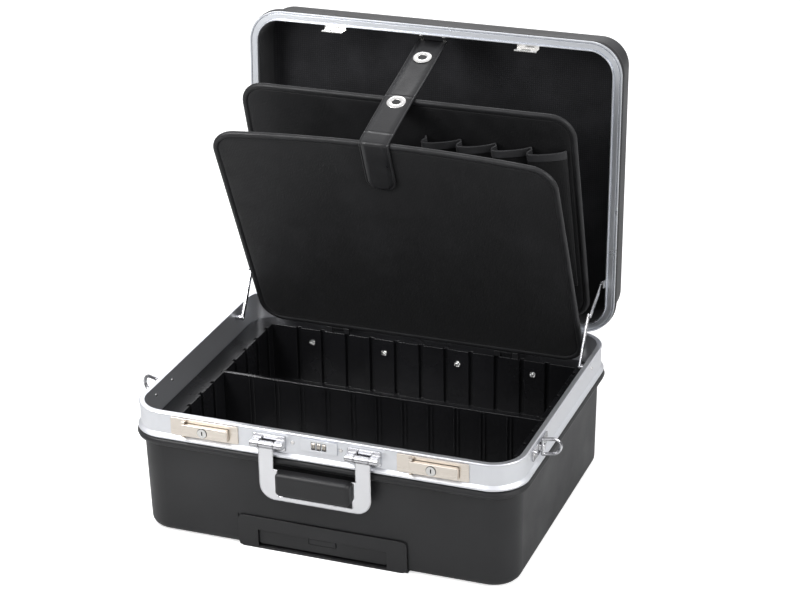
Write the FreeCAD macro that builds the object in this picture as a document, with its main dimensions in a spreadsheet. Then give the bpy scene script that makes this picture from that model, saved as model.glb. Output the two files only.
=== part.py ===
import FreeCAD, Part
import math
import os
import Sketcher
from FreeCAD import Placement, Rotation, Vector

# A hard tool case, open, with two tool boards and a telescopic trolley.
# Millimetres, +Z up, front towards -Y, origin under the middle of the base on the surface it stands on.

os.makedirs("parts", exist_ok=True)
doc = FreeCAD.newDocument("tool_case")

# Driving dimensions
SIZES = {
    # Case
    "case_width": 512, "case_depth": 395.5, "base_top": 171.5, "lip_radius": 45, "mate_gap": 0.3,
    "lid_width": "=case_width - 1", "lid_depth": "=case_depth - 2.5", "lid_high": 64, "lid_radius": 43,
    # Base frame section
    "lip_out": 3.5, "frame_high": 34.2, "lip_high": 2.2, "ramp_high": 3.8, "bead_out": 1, "bead_low": 2.5,
    "section_wide": 6, "ledge_drop": 41, "ledge_in": 6, "ledge_thick": 2, "leg_thick": 1.6,
    "slot_wide": 2.8,
    # Base shell
    "shell_wall": 3, "wall_in": 7.5, "foot_in": 10, "foot_radius": 10,
    "bead_high": 13, "bead_thick": 9, "edge_tongue": 2.4, "tongue_high": 14, "tongue_seat": 0.2,
    # Lid frame section
    "lid_face": 11.8, "lid_rim_high": 3, "lid_tongue": 1.5, "lid_tongue_drop": 2.5, "lid_leg_high": 16,
    "lid_groove": 1, "lid_groove_deep": 0.8,
    # Lid shell
    "lid_bead_high": 11, "lid_bead_out": 1, "lid_wall_in": 4.5, "lid_bead_seat": 7.5, "lid_taper": 2,
    "lid_top_radius": 9, "lining_thick": 2,
    # Hinge
    "hinge_y": "=case_depth / 2 - 0.75", "hinge_z": "=base_top - 4.3", "knuckle_radius": 2.75,
    "pin_radius": 1.25, "pin_fit": 0.05, "leaf_thick": 1.2, "hinge_wide": 60,
    "hinge_place": "=case_width / 2 - 106", "knuckle_gap": 0.3, "open_angle": 93, "leaf_drop": 18,
    # Liner
    "liner_half": "=case_width / 2 - 39.5", "liner_back": "=case_depth / 2 - 32.75", "liner_wall": 6,
    "flange_thick": 1.5, "floor_top": 52,
    "floor_thick": 3, "groove_pitch": 35.5, "groove_wide": 7, "groove_deep": 4, "side_pitch": 34.7,
    "liner_rivet_radius": 4, "liner_rivet_head": 1.2, "liner_rivet_z": "=base_top - 58.5",
    "liner_rivet_step": 105,
    # Divider
    "divider_y": 9, "divider_thick": 4, "divider_fit": 0.5, "divider_rib": 1.6, "divider_rib_place": 2.7,
    # Locks
    "lock_place": "=case_width / 2 - 107", "lock_wide": 91, "lock_high": 24, "lock_z": "=base_top - 15.5",
    "lock_thick": 1.5, "lever_wide": 62, "lever_high": 16, "lever_z": "=lock_z - 1", "lever_thick": 5,
    "lever_pin": 1.5, "lever_gap": 1.1, "key_radius": 6, "key_shift": 2.5, "key_rise": 1,
    "bolt_wide": 10, "bolt_high": 4, "bolt_fit": 0.08, "lock_edge": 2, "lock_case_wide": 34,
    "lock_case_high": 13, "lock_case_deep": 6,
    # Combination
    "dial_pitch": 7, "dial_wide": 4.6, "dial_radius": 5.8, "dial_z": "=base_top - 12.5", "dial_shaft": 1.5,
    "dial_out": 1.2, "dial_fit": 0.06, "dial_room": 0.6, "combo_wall": 1, "combo_wide": 48,
    "combo_high": 17, "combo_thick": 1.5, "combo_shift": 3,
    "frame_rivet_place": 31.5, "frame_rivet_radius": 2.6, "frame_rivet_head": 1.2,
    # Handle
    "bracket_place": 62, "bracket_wide": 42, "bracket_low": "=base_top - 31.5", "bracket_high": 25.5,
    "bracket_thick": 2.2, "barrel_radius": 4.6, "barrel_y": "=case_depth / 2 + 6.25",
    "barrel_z": "=lock_z", "barrel_wide": 19,
    "barrel_gap": 0.4, "handle_pin": 2, "bow_wide": 146, "bow_low": "=base_top - 89.5", "bow_radius": 20,
    "bow_arm": 19.5, "bow_thick": 3.4, "bow_bar": 6, "grip_wide": 97, "grip_low": "=bow_low + 12",
    "grip_high": 30, "grip_deep": 15,
    # Carry rings
    "ring_y": 106, "ring_low": "=base_top - 23.5", "ring_high": 20, "ring_out": 22, "ring_wire": 2.2,
    "ring_plate_long": 56, "ring_plate_high": 15, "ring_plate_thick": 1.8, "ring_swing": 20,
    "ring_eye": 3.6,
    # Trolley
    "tray_half": 112, "tray_high": 44, "tray_wall": 3, "tray_back": "=case_depth / 2 - 39.75",
    "bezel_thick": 3,
    "bezel_radius": 8, "tray_fit": 0.5, "grip_half": 85, "grip_bar_high": 20, "grip_bar_low": 6,
    "grip_bar_deep": 22, "tube_place": 62, "tube_wide": 24, "tube_high": 14, "tube_thick": 1.4,
    "tube_fit": 0.4, "tube_low": 8, "button_wide": 36, "button_high": 9,
    "button_travel": 4, "button_rise": 4, "tube_back": 12,
    # Wheels
    "wheel_radius": 20, "wheel_wide": 22, "wheel_out": 5, "wheel_z": 21,
    "wheel_place": "=case_width / 2 - 68",
    "axle_radius": 4, "axle_fit": 0.08, "housing_wall": 2.4, "wheel_room": 2, "tyre_thick": 5,
    # Stays
    "stay_x": "=case_width / 2 - 18", "stay_base_y": "=hinge_y - 82", "stay_base_z": "=base_top - 11.5",
    "stay_low_long": 67, "stay_high_long": 56.5, "stay_lid_y": "=hinge_y + 4.6",
    "stay_lid_z": "=hinge_z + 73.7", "stay_wide": 7, "stay_thick": 2, "stay_gap": 0.5,
    "stay_pin": 2.2, "stay_collar": 3.3, "stay_bracket_half": 5, "stay_bracket_thick": 1.6,
    # Boards
    "board_half": "=case_width / 2 - 26.4", "board_radius": 33, "board_thick": 5,
    "board_pivot_y": "=hinge_y - 28.3", "board_pivot_z": "=hinge_z - 28.7",
    "board_high": "=case_depth - 43.5", "board_lean": 23.94, "board_bow": 13,
    "board_low_share": 0.02, "binding": 8,
    "rear_half": "=board_half - 3.6", "rear_pivot_y": "=hinge_y + 6.3", "rear_pivot_z": "=hinge_z + 16.8",
    "rear_high": "=board_high - 27", "rear_lean": 15.4, "pocket_left": 26, "pocket_pitch": 46.6,
    "pocket_mouth": 50, "pocket_low": 60, "pocket_bulge": 14, "hem_high": 16,
    "board_rod": 1.2, "board_lug": 2.5, "board_start": 3, "board_hinge_place": 120, "lug_wide": 16,
    "lug_gap": 0.4, "binding_extra": 2, "pocket_wall": 2, "pocket_gap": 0.3,
    # Strap
    "strap_wide": 40, "strap_thick": 2.4, "strap_root_up": "=lid_depth - 22", "strap_root_in": 5,
    "strap_rest": 0.8, "strap_shift": -8, "strap_tail": 74, "eyelet_long": 25,
    "eyelet_wide": 23, "eyelet_thick": 0.8, "eyelet_first": 35,
    # Lid catches
    "catch_place": "=lock_place - 17", "catch_wide": 29.5, "catch_in": 4, "catch_drop": 15,
    "catch_thick": 1.6, "catch_room": 1,
    "overrun": 10,
}
dims = doc.addObject("Spreadsheet::Sheet", "dims")
for row, (alias, size) in enumerate(SIZES.items(), 1):
    dims.set(f"A{row}", alias)
    dims.set(f"B{row}", str(size))
    dims.setAlias(f"B{row}", alias)
doc.recompute()


def size(expression):
    """A named size, or a sum of named sizes, as a number."""
    value = dims.evalExpression(named(expression))
    return float(getattr(value, "Value", value))


def named(expression):
    """The same expression with the sheet's name in front of each size."""
    words = sorted(SIZES, key=len, reverse=True)
    out = ""
    place = 0
    text = str(expression)
    while place < len(text):
        for word in words:
            if text.startswith(word, place):
                out += "dims." + word
                place += len(word)
                break
        else:
            out += text[place]
            place += 1
    return out


def new_body(label):
    body = doc.addObject("PartDesign::Body", label)
    body.Label = label
    return body


def sketch_on(body, plane, offset):
    """A sketch on one of the body's own origin planes, moved along that plane's normal."""
    sketch = body.newObject("Sketcher::SketchObject", body.Name + "_sketch")
    role = plane + "_Plane"
    origin_plane = [item for item in body.Origin.OriginFeatures if item.Role == role][0]
    sketch.AttachmentSupport = [(origin_plane, "")]
    sketch.MapMode = "FlatFace"
    sketch.setExpression("AttachmentOffset.Base.z", named(offset))
    return sketch


def bind(sketch, kind, *where, value):
    """One sketch dimension that follows the sheet."""
    index = sketch.addConstraint(Sketcher.Constraint(kind, *where, size(value)))
    sketch.setExpression(f"Constraints[{index}]", named(value))


def draw_polygon(sketch, points):
    """A closed outline of straight lines, each corner at its own named place."""
    corners = [Vector(size(x), size(y), 0) for x, y in points]
    first = sketch.GeometryCount
    count = len(points)
    for step in range(count):
        sketch.addGeometry(Part.LineSegment(corners[step], corners[(step + 1) % count]), False)
    for step in range(count):
        after = first + (step + 1) % count
        sketch.addConstraint(Sketcher.Constraint("Coincident", first + step, 2, after, 1))
    for step, (x, y) in enumerate(points):
        bind(sketch, "DistanceX", -1, 1, first + step, 1, value=x)
        bind(sketch, "DistanceY", -1, 1, first + step, 1, value=y)


def draw_circle(sketch, x, y, radius):
    index = sketch.GeometryCount
    centre = Vector(size(x), size(y), 0)
    sketch.addGeometry(Part.Circle(centre, Vector(0, 0, 1), size(radius)), False)
    bind(sketch, "Radius", index, value=radius)
    bind(sketch, "DistanceX", -1, 1, index, 3, value=x)
    bind(sketch, "DistanceY", -1, 1, index, 3, value=y)


def draw_rounded(sketch, left, right, low, high, radius):
    """A rectangle with four equal round corners."""
    x0, x1, y0, y1, r = size(left), size(right), size(low), size(high), size(radius)
    first = sketch.GeometryCount
    lines = [
        ((x0 + r, y0), (x1 - r, y0)),
        ((x1, y0 + r), (x1, y1 - r)),
        ((x1 - r, y1), (x0 + r, y1)),
        ((x0, y1 - r), (x0, y0 + r)),
    ]
    centres = [(x1 - r, y0 + r), (x1 - r, y1 - r), (x0 + r, y1 - r), (x0 + r, y0 + r)]
    for start, end in lines:
        sketch.addGeometry(Part.LineSegment(Vector(*start, 0), Vector(*end, 0)), False)
    for turn, centre in enumerate(centres):
        round_corner = Part.Circle(Vector(*centre, 0), Vector(0, 0, 1), r)
        start = math.pi / 2 * (turn - 1)
        arc = Part.ArcOfCircle(round_corner, start, start + math.pi / 2)
        sketch.addGeometry(arc, False)
    for side in range(4):
        arc = first + 4 + side
        after = first + (side + 1) % 4
        sketch.addConstraint(Sketcher.Constraint("Tangent", first + side, 2, arc, 1))
        sketch.addConstraint(Sketcher.Constraint("Tangent", arc, 2, after, 1))
        kind = "Vertical" if side % 2 else "Horizontal"
        sketch.addConstraint(Sketcher.Constraint(kind, first + side))
    for side in range(1, 4):
        sketch.addConstraint(Sketcher.Constraint("Equal", first + 4, first + 4 + side))
    bind(sketch, "Radius", first + 4, value=radius)
    bind(sketch, "DistanceY", -1, 1, first, 1, value=low)
    bind(sketch, "DistanceX", -1, 1, first + 1, 1, value=right)
    bind(sketch, "DistanceY", -1, 1, first + 2, 1, value=high)
    bind(sketch, "DistanceX", -1, 1, first + 3, 1, value=left)


def draw(sketch, outline):
    """An outline is a list of corners, or a kind of form with its named sizes."""
    if outline[0] == "circle":
        draw_circle(sketch, *outline[1:])
    elif outline[0] == "rounded":
        draw_rounded(sketch, *outline[1:])
    else:
        draw_polygon(sketch, outline)


def box_outline(left, right, low, high):
    return [(left, low), (right, low), (right, high), (left, high)]


def add(body, plane, offset, outlines, length, back=False):
    """Material from an outline, along the plane's normal, or the other way with back."""
    sketch = sketch_on(body, plane, offset)
    for outline in outlines:
        draw(sketch, outline)
    pad = body.newObject("PartDesign::Pad", body.Name + "_pad")
    pad.Profile = sketch
    pad.Reversed = back
    pad.setExpression("Length", named(length))
    doc.recompute()
    return pad


def remove(body, plane, offset, outlines, length, back=False):
    """A pocket that goes along the plane's normal, or the other way with back."""
    before = body.Shape.Volume
    sketch = sketch_on(body, plane, offset)
    for outline in outlines:
        draw(sketch, outline)
    pocket = body.newObject("PartDesign::Pocket", body.Name + "_pocket")
    pocket.Profile = sketch
    pocket.Reversed = not back
    pocket.setExpression("Length", named(length))
    doc.recompute()
    if body.Shape.Volume >= before:
        raise ValueError(body.Label + ": a pocket cut nothing")
    return pocket


def prism(label, plane, offset, outlines, length, back=False):
    body = new_body(label)
    add(body, plane, offset, outlines, length, back)
    return body


def soften(body, radius, wanted, kind="Fillet"):
    """Rounds or bevels the edges of the body that the test picks."""
    tip = body.Tip
    edges = [f"Edge{number}" for number, edge in enumerate(tip.Shape.Edges, 1) if wanted(edge)]
    if not edges:
        raise ValueError(body.Label + ": no edge to round")
    feature = body.newObject("PartDesign::" + kind, body.Name + "_" + kind.lower())
    feature.Base = (tip, edges)
    feature.setExpression("Size" if kind == "Chamfer" else "Radius", named(radius))
    doc.recompute()
    return feature


def shape_node(label, shape):
    """A sub-part whose shape is worked out here from the sheet."""
    node = doc.addObject("Part::Feature", label)
    node.Label = label
    node.Shape = shape
    return node


def group(label, members):
    node = doc.addObject("Part::Compound", label)
    node.Label = label
    node.Links = members
    doc.recompute()
    return node


def ring(profile, half_x, half_y, radius):
    """One section carried round a rectangle with round corners. A section point is outwards, then up."""
    straight_x = half_x - radius
    straight_y = half_y - radius
    pieces = []
    for turn in range(4):
        along_x = turn % 2 == 0
        straight = straight_x if along_x else straight_y
        out = half_y if along_x else half_x
        points = [Vector(-straight, -(out + u), z) for u, z in profile]
        side = Part.Face(Part.makePolygon(points + points[:1])).extrude(Vector(2 * straight, 0, 0))
        side.rotate(Vector(0, 0, 0), Vector(0, 0, 1), 90 * turn)
        pieces.append(side)
        centre = Vector(straight, -(out - radius), 0)
        points = [Vector(straight, -(out + u), z) for u, z in profile]
        corner = Part.Face(Part.makePolygon(points + points[:1])).revolve(centre, Vector(0, 0, 1), 90)
        corner.rotate(Vector(0, 0, 0), Vector(0, 0, 1), 90 * turn)
        pieces.append(corner)
    return pieces[0].multiFuse(pieces[1:]).removeSplitter()


def rounded_box(half_x, half_y, radius, low, high):
    """A level plate or block with round upright corners."""
    block = Part.makeBox(2 * half_x, 2 * half_y, high - low, Vector(-half_x, -half_y, low))
    upright = [edge for edge in block.Edges if edge.BoundBox.ZLength > (high - low) / 2]
    return block.makeFillet(radius, upright)


def rod(start, end, radius):
    """A round bar between two points."""
    way = end - start
    return Part.makeCylinder(radius, way.Length, start, way)


def swing(thing, y, z, degrees):
    """Turns a finished sub-part about an axis along X."""
    axis = Rotation(Vector(1, 0, 0), degrees)
    turn = Placement(Vector(0, 0, 0), axis, Vector(0, y, z))
    thing.Placement = turn.multiply(thing.Placement)


# Places that several pieces share
HALF_X = "case_width / 2"
HALF_Y = "case_depth / 2"
FLAT_X = "(case_width / 2 - lip_out)"
FLAT_Y = "(case_depth / 2 - lip_out)"
FLAT_RADIUS = "(lip_radius - lip_out)"
WALL_X = "(case_width / 2 - wall_in)"
WALL_Y = "(case_depth / 2 - wall_in)"
FOOT_X = "(case_width / 2 - foot_in)"
FOOT_Y = "(case_depth / 2 - foot_in)"
FRAME_LOW = "(base_top - frame_high)"
BEAD_LOW = "(base_top - frame_high - bead_high)"
LEDGE = "(base_top - ledge_drop)"
FLANGE_TOP = "(base_top - ledge_drop + flange_thick)"
WHEEL_Y = "(case_depth / 2 - foot_in + wheel_out - wheel_radius)"
HOUSING_FRONT = "(case_depth / 2 - foot_in + wheel_out - 2 * wheel_radius - wheel_room - housing_wall)"
HOUSING_HALF = "(wheel_wide / 2 + wheel_room + housing_wall)"
HOUSING_TOP = "(wheel_z + wheel_radius + wheel_room + housing_wall)"


def arc_points(centre_u, centre_z, radius, start, end, steps):
    """Points of a round corner of a section, angles in degrees from straight outwards."""
    points = []
    for step in range(steps + 1):
        turn = math.radians(start + (end - start) * step / steps)
        points.append((centre_u + radius * math.cos(turn), centre_z + radius * math.sin(turn)))
    return points


def base_wall_profile():
    """The moulded wall: foot rounding, tapered wall, rolled bead and the tongue for the frame's slot."""
    wall = size("shell_wall")
    low = size(BEAD_LOW)
    high = size("bead_high")
    out = size("bead_thick")
    foot = size("foot_radius")
    taper = size("foot_in - wall_in")
    tongue_in = -size("tongue_seat")
    tongue_out = tongue_in + size("edge_tongue")
    top = size(FRAME_LOW)
    tip = top + size("tongue_high")
    steps = 5
    profile = arc_points(-taper - foot, foot, foot, -90, 0, steps)
    profile.append((0, low))
    for step in range(1, steps + 1):
        turn = math.radians(-90 + 150 * step / steps)
        profile.append((out * math.cos(turn), low + high / 2 + high / 2 * math.sin(turn)))
    profile += [(profile[-1][0], top), (tongue_out, top), (tongue_out, tip), (tongue_in, tip)]
    inside = size(LEDGE) - size("ledge_thick") - size("mate_gap")
    profile += [(tongue_in, inside), (-wall, inside), (-wall, low)]
    profile += arc_points(-taper - foot, foot, foot - wall, 0, -90, steps)
    return profile


def box_part(name, low_x, high_x, low_y, high_y, low_z, high_z):
    """A plain block between six named places."""
    block = doc.addObject("Part::Box", name)
    for side, low, high in (("x", low_x, high_x), ("y", low_y, high_y), ("z", low_z, high_z)):
        length = {"x": "Length", "y": "Width", "z": "Height"}[side]
        block.setExpression(length, named(f"({high}) - ({low})"))
        block.setExpression("Placement.Base." + side, named(low))
    return block


def base_frame_shape():
    """The aluminium section: lip, ramp, flat face, top bead, shell slot, and a ledge for the liner."""
    top = size("base_top")
    low = size(FRAME_LOW)
    lip = size("lip_out")
    ramp = low + size("lip_high")
    bead = size("bead_out")
    bead_low = top - size("bead_low")
    section = -size("section_wide")
    leg = -size("leg_thick")
    web = leg - size("slot_wide")
    slot_top = low + size("tongue_high + tongue_seat")
    ledge = size(LEDGE)
    under = ledge - size("ledge_thick")
    profile = [
        (lip, low), (lip, ramp), (0, ramp + size("ramp_high")), (0, bead_low), (bead, bead_low + bead),
        (bead, top - bead), (0, top), (section, top), (section, ledge),
        (section - size("ledge_in"), ledge), (section - size("ledge_in"), under), (web, under),
        (web, slot_top), (leg, slot_top), (leg, low),
    ]
    return ring(profile, size(FLAT_X), size(FLAT_Y), size(FLAT_RADIUS))


def make_base_shell():
    wall = ring(base_wall_profile(), size(WALL_X), size(WALL_Y), size("lip_radius - wall_in"))
    inset = size("foot_in - wall_in + foot_radius")
    radius = size("lip_radius - wall_in") - inset
    floor = rounded_box(size(WALL_X) - inset, size(WALL_Y) - inset, radius, 0, size("shell_wall"))
    moulding = shape_node("base_moulding", wall.fuse(floor).removeSplitter())
    half = "(tray_half + tray_fit)"
    cuts = [box_part("trolley_way", "-" + half, half, "-case_depth / 2 - overrun", "tray_back + tray_fit",
                     "-overrun", "tray_high + tray_fit")]
    for side in ("-", ""):
        middle = side + "wheel_place"
        cuts.append(box_part("wheel_way", middle + "-" + HOUSING_HALF, middle + "+" + HOUSING_HALF,
                             HOUSING_FRONT, HALF_Y + " + overrun", "-overrun", HOUSING_TOP))
    ways = group("shell_ways", cuts)
    shell = doc.addObject("Part::Cut", "base_shell")
    shell.Label = "base_shell"
    shell.Base = moulding
    shell.Tool = ways
    doc.recompute()
    return shell


def make_base_frame():
    """The closed frame, with a window for the number dials."""
    section = shape_node("frame_section", base_frame_shape())
    half = "(dial_pitch * 3 / 2 + dial_room)"
    window = box_part("dial_window", "combo_shift - " + half, "combo_shift + " + half,
                      "-case_depth / 2 - overrun", "-case_depth / 2 + lip_out + section_wide + overrun",
                      "dial_z - dial_radius - dial_room", "dial_z + dial_radius + dial_room")
    frame = doc.addObject("Part::Cut", "base_frame")
    frame.Label = "base_frame"
    frame.Base = section
    frame.Tool = window
    doc.recompute()
    return frame


def bar(low_x, high_x, low_y, high_y, low_z, high_z):
    """A plain block as a shape, between six named places."""
    x0, x1, y0, y1, z0, z1 = [size(place) for place in (low_x, high_x, low_y, high_y, low_z, high_z)]
    return Part.makeBox(x1 - x0, y1 - y0, z1 - z0, Vector(x0, y0, z0))


def make_liner():
    """The compartment liner: a flange on the frame's ledge and walls with upright grooves."""
    body = new_body("liner_tray")
    edge_x = FLAT_X + " - section_wide - mate_gap"
    edge_y = FLAT_Y + " - section_wide - mate_gap"
    corner = FLAT_RADIUS + " - section_wide - mate_gap"
    flange = ("rounded", f"-({edge_x})", edge_x, f"-({edge_y})", edge_y, corner)
    add(body, "XY", LEDGE, [flange], "flange_thick")
    out_x, out_y = "(liner_half + liner_wall)", "(liner_back + liner_wall)"
    outside = box_outline("-" + out_x, out_x, "-" + out_y, out_y)
    add(body, "XY", "floor_top - floor_thick", [outside], LEDGE + " - floor_top + floor_thick")
    inside = box_outline("-liner_half", "liner_half", "-liner_back", "liner_back")
    remove(body, "XY", "floor_top", [inside], "base_top")
    grooves = []
    half = "groove_wide / 2"
    bays = int(size("liner_half - groove_wide") / size("groove_pitch"))
    for step in range(-bays, bays + 1):
        middle = f"{step} * groove_pitch"
        grooves.append(bar(f"{middle} - {half}", f"{middle} + {half}", "-liner_back - groove_deep",
                           "liner_back + groove_deep", "floor_top", "base_top"))
    bays = int(size("liner_back - groove_wide") / size("side_pitch"))
    for step in range(-bays, bays + 1):
        middle = f"{step} * side_pitch + divider_y"
        grooves.append(bar("-liner_half - groove_deep", "liner_half + groove_deep", f"{middle} - {half}",
                           f"{middle} + {half}", "floor_top", "base_top"))
    doc.recompute()
    whole = body.Shape.cut(Part.makeCompound(grooves))
    panels = []
    for zone in liner_zones():
        panels += whole.common(zone).Solids
    return shape_node("base_liner", Part.makeCompound(panels))


def liner_zones():
    """The liner is five panels: a floor, and four walls that each carry their part of the flange."""
    far_x, far_y = "case_width", "case_depth"
    inner_x, inner_y = "(liner_half - mate_gap)", "(liner_back - mate_gap)"
    return [bar("-" + inner_x, inner_x, "-" + inner_y, inner_y, "0", "floor_top"),
            bar("-" + far_x, far_x, "-" + far_y, "-liner_back", "0", "base_top"),
            bar("-" + far_x, far_x, "liner_back", far_y, "0", "base_top"),
            bar("-" + far_x, "-liner_half", "-" + inner_y, inner_y, "0", "base_top"),
            bar("liner_half", far_x, "-" + inner_y, inner_y, "0", "base_top")]


def make_liner_rivets():
    heads = []
    for number, step in enumerate((-1.5, -0.5, 0.5, 1.5)):
        middle = f"{step} * liner_rivet_step"
        heads.append(prism(f"liner_rivet_{number}", "XZ", "-liner_back",
                           [("circle", middle, "liner_rivet_z", "liner_rivet_radius")], "liner_rivet_head"))
    return group("liner_rivets", heads)


def make_divider():
    """The long divider stands in the side walls' middle grooves, with a pair of ribs at each bay."""
    reach = "liner_half + groove_deep - divider_fit"
    half = "divider_thick / 2"
    panel = bar(f"-({reach})", reach, f"divider_y - {half}", f"divider_y + {half}", "floor_top", FLANGE_TOP)
    ribs = []
    bays = int(size("liner_half - groove_wide") / size("groove_pitch"))
    for step in range(-bays, bays + 1):
        for place in ("- divider_rib_place", "+ divider_rib_place"):
            middle = f"{step} * groove_pitch {place}"
            ribs.append(bar(f"{middle} - divider_rib / 2", f"{middle} + divider_rib / 2",
                            f"divider_y - {half} - divider_rib", f"divider_y + {half} + divider_rib",
                            "floor_top", FLANGE_TOP))
    return shape_node("long_divider", panel.multiFuse(ribs).removeSplitter())


def plate(label, middle, wide, low, high, face, thick, radius):
    """A flat plate with round corners on the front face, standing out towards the front."""
    left, right = f"{middle} - {wide} / 2", f"{middle} + {wide} / 2"
    return prism(label, "XZ", face, [("rounded", left, right, low, high, radius)], thick)


def across(radius, low, high, y, z):
    """A round bar as a shape, along X from low to high."""
    return Part.makeCylinder(radius, high - low, Vector(low, y, z), Vector(1, 0, 0))


def upright(x, y, low, high, radius):
    """A round upright bar as a shape."""
    place = Vector(size(x), size(y), size(low))
    return Part.makeCylinder(size(radius), size(f"({high}) - ({low})"), place)


def make_lock(side, word):
    """Plate with two lugs, hinged lever with its pin, key cylinder, bolt and bolt case of one lock."""
    middle = side + "lock_place"
    low, high = "lock_z - lock_high / 2", "lock_z + lock_high / 2"
    flat = plate(f"lock_back_{word}", middle, "lock_wide", low, high, FLAT_Y, "lock_thick", "lock_edge")
    soften(flat, "lock_thick / 3", at_front("case_depth / 2 - lip_out + lock_thick"))
    lever_face = FLAT_Y + " + lock_thick + lever_gap"
    left = f"{middle} - lever_wide / 2 + key_shift"
    right = f"{middle} + lever_wide / 2 + key_shift"
    pin_x = f"{left} + lever_thick / 2"
    pin_y = f"-({lever_face}) - lever_thick / 2"
    lever_low, lever_high = "lever_z - lever_high / 2", "lever_z + lever_high / 2"
    lugs = []
    spans = ((low + " + lock_edge / 2", lever_low + " - lever_gap"),
             (lever_high + " + lever_gap", high + " - lock_edge / 2"))
    for start, end in spans:
        lugs.append(bar(left, f"{left} + lever_thick", f"-({lever_face}) - lever_thick",
                        f"-{FLAT_Y} - lock_thick / 2", start, end))
    hole = upright(pin_x, pin_y, low, high, "lever_pin + pin_fit")
    back = shape_node(f"lock_plate_{word}", flat.Shape.multiFuse(lugs).cut(hole).removeSplitter())
    lever = new_body(f"lever_blank_{word}")
    outline = ("rounded", left, right, lever_low, lever_high, "lock_edge")
    add(lever, "XZ", lever_face, [outline], "lever_thick")
    soften(lever, "lever_thick / 4", at_front(lever_face + " + lever_thick"))
    hole = [("circle", middle, "lever_z", "key_radius + pin_fit")]
    remove(lever, "XZ", lever_face, hole, "lever_thick + overrun")
    pin = upright(pin_x, pin_y, low + " + lock_edge / 2", high + " - lock_edge / 2", "lever_pin")
    lever = shape_node(f"lock_lever_{word}", lever.Shape.fuse(pin).removeSplitter())
    key = new_body(f"key_cylinder_{word}")
    face = [("circle", middle, "lever_z", "key_radius")]
    add(key, "XZ", lever_face, face, "lever_thick + key_rise")
    slot = [box_outline(f"{middle} - lock_edge / 4", f"{middle} + lock_edge / 4",
                        "lever_z - key_radius / 2", "lever_z + key_radius / 2")]
    remove(key, "XZ", FLAT_Y + " + lock_thick + lever_gap + lever_thick", slot, "key_rise + overrun")
    bolt, case = make_bolt(side, word)
    return [back, lever, key, bolt, case]


def make_bolt(side, word):
    """The bolt lies in a small case behind the frame and slides back through the lid catch's slot."""
    middle = side + "catch_place"
    inner = "(case_depth / 2 - lip_out - section_wide)"
    half = "bolt_wide / 2"
    low, high = "lock_z + bolt_high", "lock_z + 2 * bolt_high"
    case_low = "lock_z + bolt_high * 3 / 2 - lock_case_high / 2"
    case_high = "lock_z + bolt_high * 3 / 2 + lock_case_high / 2"
    case = bar(f"{middle} - lock_case_wide / 2", f"{middle} + lock_case_wide / 2", "-" + inner,
               f"-{inner} + lock_case_deep", case_low, case_high)
    way = bar(f"{middle} - {half} - bolt_fit", f"{middle} + {half} + bolt_fit", "-" + inner,
              f"-{inner} + lock_case_deep + overrun", f"{low} - bolt_fit", f"{high} + bolt_fit")
    case = shape_node(f"lock_case_{word}", case.cut(way))
    bolt = box_part(f"lock_bolt_{word}", f"{middle} - {half}", f"{middle} + {half}", f"-{inner} + mate_gap",
                    f"-{inner} + lock_case_deep - mate_gap", low, high)
    bolt.Label = f"lock_bolt_{word}"
    doc.recompute()
    return bolt, case


def at_front(place):
    """A test for edges that lie flat on one upright front face."""
    level = -size(place)
    return lambda edge: abs(edge.BoundBox.YMin - level) < 0.01 and abs(edge.BoundBox.YMax - level) < 0.01


DIAL_Y = "(case_depth / 2 - lip_out + combo_thick + dial_out - dial_radius)"


def make_combination():
    """Face plate with three slots, number dials on one shaft, and the case behind them."""
    low, high = "dial_z - combo_high / 2", "dial_z + combo_high / 2"
    face = plate("combination_plate", "combo_shift", "combo_wide", low, high, FLAT_Y, "combo_thick",
                 "lock_edge")
    slots = []
    dials = []
    for number in range(3):
        middle = f"combo_shift + {number - 1} * dial_pitch"
        half = "(dial_wide / 2 + dial_room)"
        slots.append(box_outline(f"{middle} - {half}", f"{middle} + {half}",
                                 "dial_z - dial_radius + dial_room", "dial_z + dial_radius - dial_room"))
        dial = prism(f"number_dial_{number + 1}", "YZ", f"{middle} - dial_wide / 2",
                     [("circle", "-" + DIAL_Y, "dial_z", "dial_radius"),
                      ("circle", "-" + DIAL_Y, "dial_z", "dial_shaft + dial_fit")], "dial_wide")
        rims = lambda edge: edge.BoundBox.ZLength > size("dial_radius")
        soften(dial, "dial_wide / 8", rims)
        dials.append(dial)
    remove(face, "XZ", FLAT_Y + " - overrun", slots, "combo_thick + 2 * overrun")
    reach = "(dial_pitch * 3 / 2 + dial_room + combo_wall)"
    window_half = "(dial_pitch * 3 / 2 + dial_room)"
    shaft = prism("dial_shaft", "YZ", "combo_shift - " + window_half,
                  [("circle", "-" + DIAL_Y, "dial_z", "dial_shaft")], "2 * " + window_half)
    inner = "(case_depth / 2 - lip_out - section_wide)"
    deep = f"(dial_radius + {inner} - {DIAL_Y} + dial_room)"
    low, high = "dial_z - dial_radius - dial_room", "dial_z + dial_radius + dial_room"
    case = bar(f"combo_shift - {reach}", f"combo_shift + {reach}", "-" + inner,
               f"-{inner} + {deep} + combo_wall", f"{low} - combo_wall", f"{high} + combo_wall")
    room = bar(f"combo_shift - {reach} + combo_wall", f"combo_shift + {reach} - combo_wall",
               f"-{inner} - overrun", f"-{inner} + {deep}", low, high)
    case = shape_node("combination_case", case.cut(room))
    return [face, shaft, case] + dials


def make_frame_rivets():
    heads = []
    for number, side in enumerate(("-", "")):
        place = side + "frame_rivet_place"
        head = prism(f"frame_rivet_{number}", "XZ", FLAT_Y,
                     [("circle", place, "dial_z", "frame_rivet_radius")], "frame_rivet_head")
        soften(head, "frame_rivet_head / 2",
               at_front("case_depth / 2 - lip_out + frame_rivet_head"))
        heads.append(head)
    return group("frame_rivets", heads)


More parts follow.
